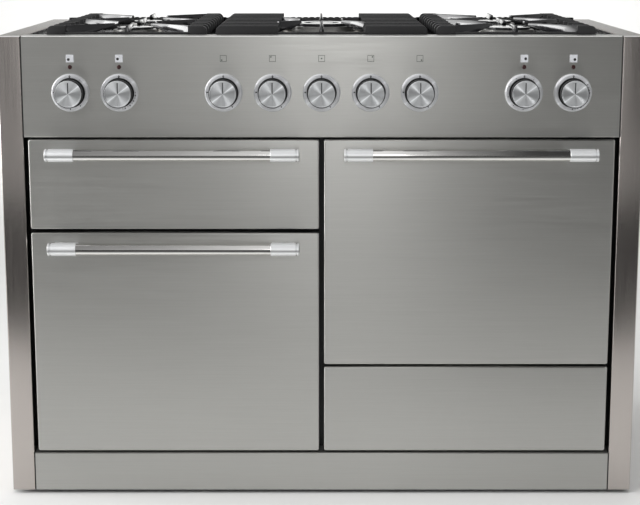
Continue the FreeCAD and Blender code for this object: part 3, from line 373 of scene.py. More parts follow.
# %% Brushed steel
STEEL = (0.495, 0.492, 0.472)
POST_STEEL = (0.478, 0.441, 0.418)
STEEL_ROUGHNESS = 0.33
POST_ROUGHNESS = 0.22
HAIR_LENGTH = 0.12
HAIR_WIDTH = 0.0009
HAIR_DETAIL = 3.0
CLOUD = (0.55, 0.35, 0.35)
CLOUD_DETAIL = 1.0
CLOUD_SHARE = 0.4
STEEL_TONE_SHARE = 0.06
STEEL_ROUGH_SHARE = 0.15
BRUSH_ACROSS = 0.85
POST_ACROSS = 0.3
POST_EDGE_TONE = 0.45
BRUSH_DEPTH = 0.000004


def brushed_steel(name, colour, upright, roughness, drawn, edge_tone=1.0):
    """Steel brushed along X, or upright along Z. The edge tone is what it reflects at a flat angle."""
    material, tree, shader = new_material(name)
    size = [HAIR_WIDTH, HAIR_WIDTH, HAIR_WIDTH]
    size[2 if upright else 0] = HAIR_LENGTH
    hairs = grain(tree, size, HAIR_DETAIL)
    clouds = grain(tree, CLOUD, CLOUD_DETAIL)
    mixed = add(tree, "ShaderNodeMix")
    mixed.inputs["Factor"].default_value = CLOUD_SHARE
    wire(tree, (hairs, mixed.inputs["A"]), (clouds, mixed.inputs["B"]))
    tone = tinted(tree, mixed.outputs["Result"], *around(colour, STEEL_TONE_SHARE))
    least, most = roughness * (1.0 - STEEL_ROUGH_SHARE), roughness * (1.0 + STEEL_ROUGH_SHARE)
    rough = spread(tree, hairs, least, most)
    wire(tree, (tone, shader.inputs["Base Color"]), (rough, shader.inputs["Roughness"]))
    relief(tree, shader, hairs, BRUSH_DEPTH)
    shader.inputs["Metallic"].default_value = 1.0
    across = add(tree, "ShaderNodeCombineXYZ")
    across.inputs["X" if upright else "Z"].default_value = 1.0
    draw_out(tree, shader, drawn, across.outputs["Vector"])
    shader.inputs["Specular Tint"].default_value = grey(edge_tone)
    return material


fascia_steel = brushed_steel("fascia_steel", STEEL, False, STEEL_ROUGHNESS, BRUSH_ACROSS)
post_steel = brushed_steel("post_steel", POST_STEEL, True, POST_ROUGHNESS, POST_ACROSS, POST_EDGE_TONE)


# %% Grain sizes
def even(size):
    """A grain that is as long as it is wide."""
    return (size, size, size)


POLISH_GRAIN = (0.03, 0.004, 0.004)
SLEEVE_GRAIN = (0.02, 0.01, 0.01)

# %% Other metals
# name, colour, metal, roughness, grain, change of tone, change of roughness, relief in metres
polished_steel = finish("polished_steel", (0.62, 0.61, 0.59), 1.0, 0.06, POLISH_GRAIN, 0.03, 0.25, 0.0)
satin_steel = finish("satin_steel", (0.94, 0.95, 0.96), 0.55, 0.30, (0.02, 0.002, 0.002), 0.03, 0.15, 0.0)
satin_aluminium = finish("satin_aluminium", (0.50, 0.495, 0.48), 1.0, 0.36, even(0.004), 0.08, 0.15, 0.00002)
# a pale steel that paints the highlight along the folded edges
highlight_edge_steel = finish("highlight_edge_steel", (0.86, 0.86, 0.85), 0.3, 0.35, (0.03, 0.002, 0.002), 0.03, 0.1, 0.0)
disc_metal = finish("disc_metal", (0.27, 0.245, 0.21), 1.0, 0.32, even(0.003), 0.1, 0.2, 0.00001)
rack_chrome = finish("rack_chrome", (0.70, 0.70, 0.70), 1.0, 0.12, (0.05, 0.01, 0.01), 0.05, 0.3, 0.0)
cut_brass = finish("cut_brass", (0.62, 0.44, 0.17), 1.0, 0.30, even(0.003), 0.08, 0.2, 0.00001)
zinc_steel = finish("zinc_steel", (0.46, 0.475, 0.485), 1.0, 0.42, even(0.018), 0.16, 0.3, 0.00001)
element_steel = finish("element_steel", (0.13, 0.12, 0.115), 0.8, 0.5, even(0.01), 0.2, 0.2, 0.00002)

# %% Enamels, castings and plastics
# as above, and then the share of clear coat
black_enamel = finish("black_enamel", (0.010, 0.010, 0.011), 0.0, 0.16, even(0.006), 0.2, 0.3, 0.00001, 0.5)
grey_enamel = finish("grey_enamel", (0.050, 0.051, 0.055), 0.0, 0.22, even(0.0015), 0.55, 0.2, 0.00001, 0.4)
frame_black = finish("frame_black", (0.008, 0.008, 0.008), 0.0, 0.45, even(0.004), 0.2, 0.2, 0.00001)
cast_black = finish("cast_black", (0.011, 0.011, 0.012), 0.0, 0.55, even(0.0012), 0.3, 0.25, 0.00004)
arm_enamel = finish("arm_enamel", (0.012, 0.012, 0.014), 0.0, 0.20, even(0.0012), 0.2, 0.2, 0.00001, 1.0)
cap_black = finish("cap_black", (0.016, 0.016, 0.017), 0.0, 0.16, even(0.0012), 0.3, 0.25, 0.00002, 0.6)
seal_rubber = finish("seal_rubber", (0.014, 0.014, 0.014), 0.0, 0.6, even(0.003), 0.2, 0.1, 0.00004)
black_plastic = finish("black_plastic", (0.009, 0.009, 0.010), 0.0, 0.55, even(0.0008), 0.2, 0.2, 0.00002)
spark_ceramic = finish("spark_ceramic", (0.80, 0.78, 0.72), 0.0, 0.25, even(0.003), 0.05, 0.2, 0.0, 0.3)
lamp_red = finish("lamp_red", (0.030, 0.0035, 0.0035), 0.0, 0.2, even(0.002), 0.2, 0.2, 0.0, 0.3)
ink_black = finish("ink_black", (0.014, 0.014, 0.015), 0.0, 0.5, even(0.001), 0.2, 0.1, 0.0)
ink_grey = finish("ink_grey", (0.10, 0.115, 0.10), 0.0, 0.5, even(0.001), 0.1, 0.1, 0.0)
ink_pale = finish("ink_pale", (0.62, 0.63, 0.66), 0.0, 0.4, even(0.001), 0.05, 0.1, 0.0)
print("materials:", len(bpy.data.materials))

# %% [markdown]
# ## Spun metal
# A knob's face and its bezel are turned on a lathe, and the tool leaves rings. Light falls on rings as
# bright wedges through the middle. Rings cut as real grooves would take thousands of faces on every
# knob, so the material makes them. A highlight drawn out across the rings gives part of the wedges,
# with the tangent running round the knob's own axis. The rest is a painted highlight: a tone painted
# into the colour that changes with the angle, with two narrow bright wedges that face each other and
# two broad ones between them.


# %% Painted highlight wedges
HIGHLIGHT_WEDGES = [
    # share of a turn clockwise from the top, tone of the painted highlight
    (0.0, 0.62), (0.09, 0.50), (0.130, 0.66), (0.147, 1.0), (0.164, 0.66), (0.21, 0.40), (0.31, 0.46),
    (0.39, 0.80), (0.44, 0.76), (0.50, 0.50), (0.59, 0.48), (0.628, 0.66), (0.645, 1.0), (0.662, 0.66),
    (0.72, 0.38), (0.80, 0.50), (0.87, 0.84), (0.93, 0.78), (1.0, 0.62),
]
AVERAGE_HIGHLIGHT = sum(tone for _, tone in HIGHLIGHT_WEDGES) / len(HIGHLIGHT_WEDGES)


def painted_highlight_wedges(tree, place, highlight_contrast):
    """A painted highlight: a tone that depends on the angle round the axis."""
    parts = add(tree, "ShaderNodeSeparateXYZ")
    turn = add(tree, "ShaderNodeMath", operation="ARCTAN2")
    share = add(tree, "ShaderNodeMath", operation="DIVIDE")
    share.inputs[1].default_value = FULL_TURN
    whole = add(tree, "ShaderNodeMath", operation="FRACT")
    node = ramp(
        tree,
        [(position, grey(AVERAGE_HIGHLIGHT + (tone - AVERAGE_HIGHLIGHT) * highlight_contrast)) for position, tone in HIGHLIGHT_WEDGES],
    )
    wire(
        tree,
        (place, parts.inputs[0]), (parts.outputs["X"], turn.inputs[0]), (parts.outputs["Z"], turn.inputs[1]),
        (turn.outputs[0], share.inputs[0]), (share.outputs[0], whole.inputs[0]),
        (whole.outputs[0], node.inputs["Fac"]),
    )
    return node.outputs["Color"]


# %% Spun aluminium
RING_SCALE = 420.0
RING_DISTORTION = 0.6
RING_DETAIL = 1.0
RING_TONE_SHARE = 0.06
RING_DEPTH = 0.000002


def spun_metal(name, colour, metal_share, roughness, across, centre, highlight_contrast):
    """Aluminium with rings round an axis along Y through a centre, and a painted highlight in wedges round
    it.
    """
    material, tree, shader = new_material(name)
    place = add(tree, "ShaderNodeTexCoord")
    mapping = add(tree, "ShaderNodeMapping")
    mapping.inputs["Location"].default_value = [-c for c in centre]
    rings = add(tree, "ShaderNodeTexWave", wave_type="RINGS", rings_direction="Y")
    rings.inputs["Scale"].default_value = RING_SCALE
    rings.inputs["Distortion"].default_value = RING_DISTORTION
    rings.inputs["Detail"].default_value = RING_DETAIL
    from_centre = mapping.outputs["Vector"]
    wire(tree, (place.outputs["Object"], mapping.inputs["Vector"]), (from_centre, rings.inputs["Vector"]))
    value = rings.outputs["Fac"]
    rings_tone = tinted(tree, value, *around(colour, RING_TONE_SHARE), 0.0, 1.0)
    # painted highlight: the wedge tone darkens and lightens the colour round the axis
    toned = multiplied(tree, rings_tone, painted_highlight_wedges(tree, from_centre, highlight_contrast))
    wire(tree, (toned, shader.inputs["Base Color"]))
    shader.inputs["Roughness"].default_value = roughness
    shader.inputs["Metallic"].default_value = metal_share
    round_axis = add(tree, "ShaderNodeVectorMath", operation="CROSS_PRODUCT")
    round_axis.inputs[1].default_value = Y_AXIS
    wire(tree, (from_centre, round_axis.inputs[0]))
    draw_out(tree, shader, across, round_axis.outputs["Vector"])
    relief(tree, shader, value, RING_DEPTH)
    return material


# %% [markdown]
# ## Softer shading on the solids
# A solid from the frame is loose triangles, so a round edge shows its facets. Every solid could be made
# again as a smooth mesh, but it already has the true shape. So a small node tree merges the points and
# shades every edge smooth that is not a true corner, and the mesh itself stays as it is.


# %% Soft shading tree
SHARP_ANGLE = math.radians(32)
MERGE_DISTANCE = 0.00001


def tree_with(name, sockets):
    """A Geometry Nodes tree with a geometry input and the named inputs."""
    tree = bpy.data.node_groups.new(name, "GeometryNodeTree")
    tree.interface.new_socket("Geometry", in_out="INPUT", socket_type="NodeSocketGeometry")
    for socket, kind in sockets:
        tree.interface.new_socket(socket, in_out="INPUT", socket_type=kind)
    tree.interface.new_socket("Geometry", in_out="OUTPUT", socket_type="NodeSocketGeometry")
    return tree, add(tree, "NodeGroupInput"), add(tree, "NodeGroupOutput")


shade_tree, shade_in, shade_out = tree_with(
    "soft_shading", [("merge distance", "NodeSocketFloat"), ("corner angle", "NodeSocketFloat")]
)
merge = add(shade_tree, "GeometryNodeMergeByDistance")
angle = add(shade_tree, "GeometryNodeInputMeshEdgeAngle")
corner = add(shade_tree, "FunctionNodeCompare", data_type="FLOAT", operation="LESS_EQUAL")
smooth_faces = add(shade_tree, "GeometryNodeSetShadeSmooth", domain="FACE")
smooth_edges = add(shade_tree, "GeometryNodeSetShadeSmooth", domain="EDGE")
wire(
    shade_tree,
    (shade_in.outputs["Geometry"], merge.inputs["Geometry"]),
    (shade_in.outputs["merge distance"], merge.inputs["Distance"]),
    (angle.outputs["Unsigned Angle"], corner.inputs["A"]),
    (shade_in.outputs["corner angle"], corner.inputs["B"]),
    (merge.outputs["Geometry"], smooth_faces.inputs["Geometry"]),
    (smooth_faces.outputs["Geometry"], smooth_edges.inputs["Geometry"]),
    (corner.outputs["Result"], smooth_edges.inputs["Shade Smooth"]),
    (smooth_edges.outputs["Geometry"], shade_out.inputs["Geometry"]),
)
print("tree", shade_tree.name, "has", len(shade_tree.nodes), "nodes")


def set_inputs(modifier, tree, values):
    """Sets a modifier's inputs by the names that the tree gives them."""
    for item in tree.interface.items_tree:
        if item.in_out == "INPUT" and item.name in values:
            modifier[item.identifier] = values[item.name]


def soft_shading(obj):
    """Merges an object's points and smooths its round faces."""
    modifier = obj.modifiers.new("soft_shading", "NODES")
    modifier.node_group = shade_tree
    set_inputs(modifier, shade_tree, {"merge distance": MERGE_DISTANCE, "corner angle": SHARP_ANGLE})


# %% Finish of every node
NODE_FINISH = {
    fascia_steel: (
        "control_panel", "plinth", "grill_door_skin", "left_oven_door_skin", "right_oven_door_skin",
        "drawer_front",
    ),
    post_steel: ("side_panels",),
    black_enamel: ("hob_plate", "flue_grille"),
    frame_black: ("front_frame",),
    cap_black: ("burner_caps",),
    cast_black: ("pan_support_left", "pan_support_centre", "pan_support_right"),
    grey_enamel: (
        "grill_cavity", "oven_cavities", "grill_door_liner", "left_oven_door_liner", "right_oven_door_liner",
        "fan_baffles", "grill_pan",
    ),
    zinc_steel: (
        "back_panel", "base_tray", "drawer_box", "drawer_runners", "hinge_arms", "left_oven_fan",
        "right_oven_fan",
    ),
    satin_aluminium: ("burner_bases", "burner_heads"),
    satin_steel: ("bezels", *all_knobs, *["spindle_" + place for place in gas_places]),
    polished_steel: tuple(name + "_handle" for name in door_names),
    rack_chrome: ("left_oven_rack", "right_oven_rack"),
    cut_brass: ("gas_taps", "gas_manifold"),
    seal_rubber: ("door_seals",),
    spark_ceramic: ("electrodes",),
    lamp_red: ("neon_lamps",),
    black_plastic: ("electric_switches", "front_feet", "rear_rollers"),
    element_steel: ("heating_elements", "fan_motors"),
}
for material, names in NODE_FINISH.items():
    for name in names:
        solid = nodes[name]
        solid.data.materials.clear()
        solid.data.materials.append(material)
        soft_shading(solid)
print("finished nodes:", sum(len(names) for names in NODE_FINISH.values()), "of", len(nodes))

# %% [markdown]
# ## Turned pieces
# Knobs, bezels and lids come off a lathe, so each is an outline spun round an axis. A Screw modifier
# could spin it too. A short loop does the same round any axis, and closes an end that lies on the axis
# in a single point. An outline here is a list of (radius, place along the axis) points. A small arc
# between two straight runs rounds a corner.


# %% Rounded outlines
ARC_STEPS = 4


def rounded_corner(before, corner, after, radius):
    """Points of a small arc that takes the place of a corner."""
    to_before = (Vector(before) - Vector(corner)).normalized()
    to_after = (Vector(after) - Vector(corner)).normalized()
    half = to_before.angle(to_after) / 2
    start = Vector(corner) + to_before * (radius / math.tan(half))
    end = Vector(corner) + to_after * (radius / math.tan(half))
    points = []
    for step in range(ARC_STEPS + 1):
        share = step / ARC_STEPS
        curve = start * (1 - share) ** 2 + Vector(corner) * 2 * share * (1 - share) + end * share**2
        points.append((curve.x, curve.y))
    return points


def soft_outline(points, radius):
    """An outline with every inner corner rounded."""
    outline = [points[0]]
    for before, corner, after in zip(points, points[1:], points[2:]):
        outline += rounded_corner(before, corner, after, radius)
    outline.append(points[-1])
    return outline


# %% Lathe
LATHE_STEPS = 96
ON_AXIS = 1e-7


def object_from(name, shape):
    """An object from a bmesh, which is then let go."""
    mesh = bpy.data.meshes.new(name)
    shape.to_mesh(mesh)
    shape.free()
    return link(bpy.data.objects.new(name, mesh))


def turned(name, outline, centre, axis, closed=False, steps=LATHE_STEPS):
    """A solid of revolution. The outline's second number runs along the axis from the centre."""
    axis = Vector(axis).normalized()
    side = axis.orthogonal().normalized()
    other = axis.cross(side)
    shape = bmesh.new()
    rings = []
    for radius, along in outline:
        middle_point = centre + axis * along
        if radius < ON_AXIS:
            rings.append([shape.verts.new(middle_point)])
            continue
        ring = []
        for step in range(steps):
            turn = FULL_TURN * step / steps
            outwards = side * math.cos(turn) + other * math.sin(turn)
            ring.append(shape.verts.new(middle_point + outwards * radius))
        rings.append(ring)
    pairs = list(zip(rings, rings[1:]))
    if closed:
        pairs.append((rings[-1], rings[0]))
    for first, second in pairs:
        for step in range(steps):
            following = (step + 1) % steps
            corners = [first[step % len(first)], first[following % len(first)]]
            corners += [second[following % len(second)], second[step % len(second)]]
            corners = list(dict.fromkeys(corners))
            if len(corners) > 2:
                shape.faces.new(corners)
    bmesh.ops.recalc_face_normals(shape, faces=shape.faces)
    return object_from(name, shape)


# %% Finishing a piece
def smooth(obj):
    """Smooth faces, with true corners kept."""
    for face in obj.data.polygons:
        face.use_smooth = True
    obj.data.set_sharp_from_angle(angle=SHARP_ANGLE)
    return obj


def painted(obj, material):
    """A piece with one material."""
    obj.data.materials.clear()
    obj.data.materials.append(material)
    return obj


def dressed(obj, material, body, stands_for=()):
    """Gives a finished piece its material, its body and the nodes it stands for."""
    if material is not None:
        painted(obj, material)
    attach(obj, body)
    if stands_for:
        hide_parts(*stands_for)
    return obj


def merged(name, objects):
    """One object from several, each face with the material it had."""
    shape = bmesh.new()
    materials = []
    for obj in objects:
        part = bmesh.new()
        part.from_mesh(obj.data)
        own = list(obj.data.materials)
        for material in own:
            if material not in materials:
                materials.append(material)
        for face in part.faces:
            face.material_index = materials.index(own[face.material_index]) if own else 0
        stored = bpy.data.meshes.new("part")
        part.to_mesh(stored)
        part.free()
        shape.from_mesh(stored)
        bpy.data.meshes.remove(stored)
        bpy.data.objects.remove(obj)
    whole = object_from(name, shape)
    for material in materials:
        whole.data.materials.append(material)
    return whole


# %% [markdown]
# ## Knobs
# Each knob is a thin spun cap set into a black body, whose rim shows as a fine dark line round the cap.
# One outline with two materials could do, but a cap of its own gives the rim a true edge. A black line
# runs from the middle to the top. On the real knob it lies in a shallow groove. Here it is a thin
# inlay, because a groove cut into the cap would break up its round faces.

# %% Knob sizes
KNOB_EDGE = 0.7 * MM
KNOB_DISH = 0.35 * MM
DISH_INSET = 2.5 * MM
DISH_EDGE = 1.5 * MM
CAP_DEPTH = 3.2 * MM
CAP_INSET = 1.3 * MM
RIM_STEP = 0.6 * MM
FACE_DEPTH = 15.0 * MM
LINE_WIDTH = 1.9 * MM
LINE_LENGTH = 21.0 * MM
LINE_PROUD = 0.12 * MM
SKIRT_SHRINK = 2.0 * MM
SKIRT_END = 27.0 * MM
STEM_RADIUS = 7.5 * MM
KNOB_TONE = (0.93, 0.95, 0.97)
KNOB_METAL_SHARE = 0.82
KNOB_ROUGHNESS = 0.40
KNOB_ACROSS = 0.95
KNOB_PAINTED_HIGHLIGHT = 1.0


# %% Knobs
def flat_plate(name, x0, x1, z0, z1, y, depth):
    """A thin upright plate whose front lies at y."""
    corners = [(x, yy, z) for yy in (y, y + depth) for x, z in ((x0, z0), (x1, z0), (x1, z1), (x0, z1))]
    faces = [(0, 1, 2, 3), (7, 6, 5, 4), (0, 4, 5, 1), (1, 5, 6, 2), (2, 6, 7, 3), (3, 7, 4, 0)]
    return mesh_object(name, corners, faces)


def make_knob(node):
    """One knob from its solid's box."""
    low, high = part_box(node)
    centre = Vector(((low.x + high.x) / 2, low.y, (low.z + high.z) / 2))
    radius = (high.x - low.x) / 2
    length = high.y - low.y
    face_metal = spun_metal(
        node + "_spun", KNOB_TONE, KNOB_METAL_SHARE, KNOB_ROUGHNESS, KNOB_ACROSS, centre, KNOB_PAINTED_HIGHLIGHT
    )
    cap = radius - CAP_INSET
    face_outline = [(0.0, KNOB_DISH), (cap - DISH_INSET, KNOB_DISH), (cap - DISH_EDGE, 0.0), (cap, 0.0)]
    face_outline += [(cap, CAP_DEPTH), (0.0, CAP_DEPTH)]
    face = smooth(turned(node + "_face", soft_outline(face_outline, KNOB_EDGE), centre, Y_AXIS))
    back = radius - SKIRT_SHRINK
    skirt_outline = [(0.0, RIM_STEP), (radius, RIM_STEP), (radius, FACE_DEPTH), (back, FACE_DEPTH + MM)]
    skirt_outline += [(back, SKIRT_END), (STEM_RADIUS, SKIRT_END), (STEM_RADIUS, length), (0.0, length)]
    skirt = smooth(turned(node + "_skirt", soft_outline(skirt_outline, KNOB_EDGE), centre, Y_AXIS))
    line_x = (centre.x - LINE_WIDTH / 2, centre.x + LINE_WIDTH / 2)
    line_z = (centre.z + MM, centre.z + LINE_LENGTH)
    line = flat_plate(node + "_line", *line_x, *line_z, low.y + KNOB_DISH - LINE_PROUD, LINE_PROUD * 3)
    pieces = [painted(face, face_metal), painted(skirt, black_plastic), painted(line, ink_black)]
    return merged(node + "_turned", pieces)


for node in all_knobs:
    knob = make_knob(node)
    knob.data.set_sharp_from_angle(angle=SHARP_ANGLE)
    dressed(knob, None, node, (node,))
print("knobs:", len(all_knobs))

# %% [markdown]
# ## Bezels
# A bezel is a bevelled ring, turned like the knobs. The gap between knob and bezel is dark on the real
# cooker, because it lies in shade. Left open, it would show the bright steel of the panel behind, so a
# thin black washer in the bore of each bezel is painted shade for that gap.

# %% Bezels
bezel_low, bezel_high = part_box("bezels")
BEZEL_RADIUS = (bezel_high.z - bezel_low.z) / 2
BEZEL_BORE = 28.0 * MM
BEZEL_DEPTH = bezel_high.y - bezel_low.y
BEZEL_BEVEL = 2.2 * MM
BEZEL_METAL_SHARE = 0.30
BEZEL_TONE = (0.96, 0.97, 1.0)
BEZEL_ROUGHNESS = 0.36
BEZEL_ACROSS = 0.8
BEZEL_PAINTED_HIGHLIGHT = 0.50
BEZEL_EDGE = 0.4 * MM
SHADE_WASHER_BORE = 9.0 * MM
SHADE_WASHER_FRONT = BEZEL_DEPTH - 0.5 * MM
bezel_outline = [
    (BEZEL_BORE, BEZEL_DEPTH), (BEZEL_BORE, 0.0), (BEZEL_RADIUS - BEZEL_BEVEL, 0.0),
    (BEZEL_RADIUS, BEZEL_BEVEL), (BEZEL_RADIUS, BEZEL_DEPTH),
]
shade_washer_outline = [
    (SHADE_WASHER_BORE, BEZEL_DEPTH), (SHADE_WASHER_BORE, SHADE_WASHER_FRONT),
    (BEZEL_BORE, SHADE_WASHER_FRONT), (BEZEL_BORE, BEZEL_DEPTH),
]
soft_bezel = soft_outline(bezel_outline, BEZEL_EDGE)


def middle(node):
    """The middle of a node's box."""
    low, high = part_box(node)
    return (low + high) / 2


bezel_centres = {}
for node in all_knobs:
    place = middle(node)
    centre = Vector((place.x, bezel_low.y, place.z))
    bezel_centres[node] = centre
    ring = smooth(turned("bezel_" + node, soft_bezel, centre, Y_AXIS, closed=True))
    metal = spun_metal(
        "bezel_" + node, BEZEL_TONE, BEZEL_METAL_SHARE, BEZEL_ROUGHNESS, BEZEL_ACROSS, centre, BEZEL_PAINTED_HIGHLIGHT
    )
    dressed(ring, metal, "cabinet", ("bezels",))
    # a black washer as painted shade in the gap round the knob
    shade_washer = smooth(turned("washer_" + node, shade_washer_outline, centre, Y_AXIS, closed=True))
    dressed(shade_washer, seal_rubber, "cabinet", ("bezels",))
print("bezels:", len(bezel_centres))

# %% [markdown]
# ## Handles
# A polished bar sits in two satin sleeves. Each sleeve ends in a small bead set off by a groove, and
# stands on a foot that is lower than the sleeve, so the sleeve's round shows above and below it. Bar
# and sleeves are turned, and a foot is a box with rounded edges, much as a maker would cut them. A real
# room shows as a dark reflected streak along a polished bar. This studio is too soft for one, so the
# streak is a painted reflection: a dark tone in the finish, at a set height, and the handle carries it
# when its door swings.

# %% Handle sizes
SLEEVE_LENGTH = 54.0 * MM
SLEEVE_BEAD = 4.2 * MM
SLEEVE_GROOVE = 2.4 * MM
SLEEVE_GROOVE_DEPTH = 2.2 * MM
SLEEVE_ROUND = 1.4 * MM
SLEEVE_END_DISH = 0.3
SLEEVE_RADIUS = 12.2 * MM
SLEEVE_CHAMFER = 0.5 * MM
BAR_RADIUS = 11.0 * MM
BAR_INSET = 7.0 * MM
BAR_TONE = (0.87, 0.86, 0.84)
SLEEVE_TONE = (0.90, 0.91, 0.92)
# the painted dark reflection along the bar and the sleeves
REFLECTION_STREAK_SHARE = 0.16
REFLECTION_STREAK_HALF = 1.2 * MM
REFLECTION_STREAK_SOFT = 0.4 * MM
REFLECTION_STREAK_TONE = 0.02
SLEEVE_REFLECTION_STREAK_TONE = 0.35
FOOT_HEIGHT = 14.0 * MM
FOOT_ROUND = 3.0 * MM
FOOT_WIDTH = 47.0 * MM
BEVEL_STEPS = 3


# %% Rounded boxes
ROUND_PROFILE = 0.5


def bevelled(name, shape, edges, radius, steps):
    """An object from a shape with some edges rounded. Its flat faces stay flat."""
    rounds = bmesh.ops.bevel(
        shape, geom=edges, offset=radius, segments=steps, profile=ROUND_PROFILE, affect="EDGES"
    )
    for face in rounds["faces"]:
        face.smooth = True
    return object_from(name, shape)


def soft_box(name, low, high, radius, steps=BEVEL_STEPS):
    """A box between two corners with every edge rounded."""
    shape = bmesh.new()
    bmesh.ops.create_cube(shape, size=1.0)
    low, high = Vector(low), Vector(high)
    for vert in shape.verts:
        vert.co = Vector(low[n] + (vert.co[n] + 0.5) * (high[n] - low[n]) for n in range(3))
    return bevelled(name, shape, shape.edges[:], radius, steps)


# %% The painted dark reflection
def painted_reflection_streak(metal, z, tone):
    """Adds a painted dark reflection as a streak along a round piece, a little below its middle at z."""
    tree = metal.node_tree
    colour = tree.nodes["Principled BSDF"].inputs["Base Color"]
    place = add(tree, "ShaderNodeTexCoord")
    parts = add(tree, "ShaderNodeSeparateXYZ")
    away = add(tree, "ShaderNodeMath", operation="SUBTRACT")
    away.inputs[1].default_value = z - BAR_RADIUS * REFLECTION_STREAK_SHARE
    size = add(tree, "ShaderNodeMath", operation="ABSOLUTE")
    wire(
        tree,
        (place.outputs["Object"], parts.inputs[0]), (parts.outputs["Z"], away.inputs[0]),
        (away.outputs[0], size.inputs[0]),
    )
    dark, clear = (tone, tone, tone), (1.0, 1.0, 1.0)
    reflection_streak = tinted(tree, size.outputs[0], dark, clear, REFLECTION_STREAK_HALF, REFLECTION_STREAK_HALF + REFLECTION_STREAK_SOFT)
    wire(tree, (multiplied(tree, colour.links[0].from_socket, reflection_streak), colour))
    return metal


# %% Handles
def sleeve_outline():
    """A sleeve from its outer end: dished end, bead, groove and the long plain part."""
    edge = SLEEVE_RADIUS - SLEEVE_ROUND
    groove_end = SLEEVE_BEAD + SLEEVE_GROOVE
    groove_radius = SLEEVE_RADIUS - SLEEVE_GROOVE_DEPTH
    return [
        (0.0, 0.0), (edge - SLEEVE_ROUND, 0.0), (edge, SLEEVE_ROUND * SLEEVE_END_DISH),
        (SLEEVE_RADIUS, SLEEVE_ROUND), (SLEEVE_RADIUS, SLEEVE_BEAD - SLEEVE_CHAMFER),
        (groove_radius, SLEEVE_BEAD), (groove_radius, groove_end),
        (SLEEVE_RADIUS, groove_end + SLEEVE_CHAMFER), (SLEEVE_RADIUS, SLEEVE_LENGTH - SLEEVE_CHAMFER),
        (SLEEVE_RADIUS - SLEEVE_CHAMFER, SLEEVE_LENGTH), (BAR_RADIUS, SLEEVE_LENGTH),
    ]


def make_handle(name):
    """One handle: the bar, and two sleeves on their feet."""
    low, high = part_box(name + "_handle")
    z = (low.z + high.z) / 2
    y = low.y + SLEEVE_RADIUS
    length = high.x - low.x - BAR_INSET * 2
    bar_outline = [(0.0, 0.0), (BAR_RADIUS, 0.0), (BAR_RADIUS, length), (0.0, length)]
    bar = smooth(turned(name + "_bar", bar_outline, Vector((low.x + BAR_INSET, y, z)), X_AXIS))
    bar_metal = finish(name + "_bar_metal", BAR_TONE, 1.0, 0.06, POLISH_GRAIN, 0.03, 0.25, 0.0)
    sleeve_metal = finish(name + "_sleeve_metal", SLEEVE_TONE, 0.55, 0.34, SLEEVE_GRAIN, 0.01, 0.05, 0.0)
    painted_reflection_streak(bar_metal, z, REFLECTION_STREAK_TONE)
    painted_reflection_streak(sleeve_metal, z, SLEEVE_REFLECTION_STREAK_TONE)
    pieces = [(bar, bar_metal)]
    for hand, end in ((1, low.x), (-1, high.x)):
        sleeve = smooth(turned(name + "_sleeve", sleeve_outline(), Vector((end, y, z)), (hand, 0, 0)))
        near, far = end + hand * BAR_INSET, end + hand * (BAR_INSET + FOOT_WIDTH)
        foot_low = (min(near, far), y, z - FOOT_HEIGHT / 2)
        foot_high = (max(near, far), high.y, z + FOOT_HEIGHT / 2)
        foot = soft_box(name + "_foot", foot_low, foot_high, FOOT_ROUND)
        pieces += [(sleeve, sleeve_metal), (foot, satin_steel)]
    for piece, metal in pieces:
        dressed(piece, metal, name + "_door", (name + "_handle",))


for name in door_names:
    make_handle(name)
print("handles:", len(door_names))

# %% [markdown]
# ## Printed marks
# Each bezel has printed marks: a nought at the top, then a flame and a low mark on the gas ones, and
# short ticks along an arc on the oven ones. A picture could carry them, but its edges would blur close
# up. So every mark is a thin inlay on the bezel's face or on the panel. A tick is one small block, set
# round a circle by a node tree with the angles as its inputs, so a scale is one tree used many times.

# %% Tick tree
tick_tree, tick_in, tick_out = tree_with(
    "ring_of_ticks",
    [
        ("first angle", "NodeSocketFloat"), ("last angle", "NodeSocketFloat"), ("count", "NodeSocketInt"),
        ("ring radius", "NodeSocketFloat"), ("tick size", "NodeSocketVector"), ("tilt", "NodeSocketFloat"),
        ("centre", "NodeSocketVector"), ("material", "NodeSocketMaterial"),
    ],
)


def hand_out(tree, start, end, copies):
    """Makes copies real, gives them the tree's material and sends them to its output."""
    real = add(tree, "GeometryNodeRealizeInstances")
    paint = add(tree, "GeometryNodeSetMaterial")
    wire(
        tree,
        (copies, real.inputs["Geometry"]),
        (real.outputs["Geometry"], paint.inputs["Geometry"]),
        (start.outputs["material"], paint.inputs["Material"]),
        (paint.outputs["Geometry"], end.inputs["Geometry"]),
    )
    print("tree", tree.name, "has", len(tree.nodes), "nodes")


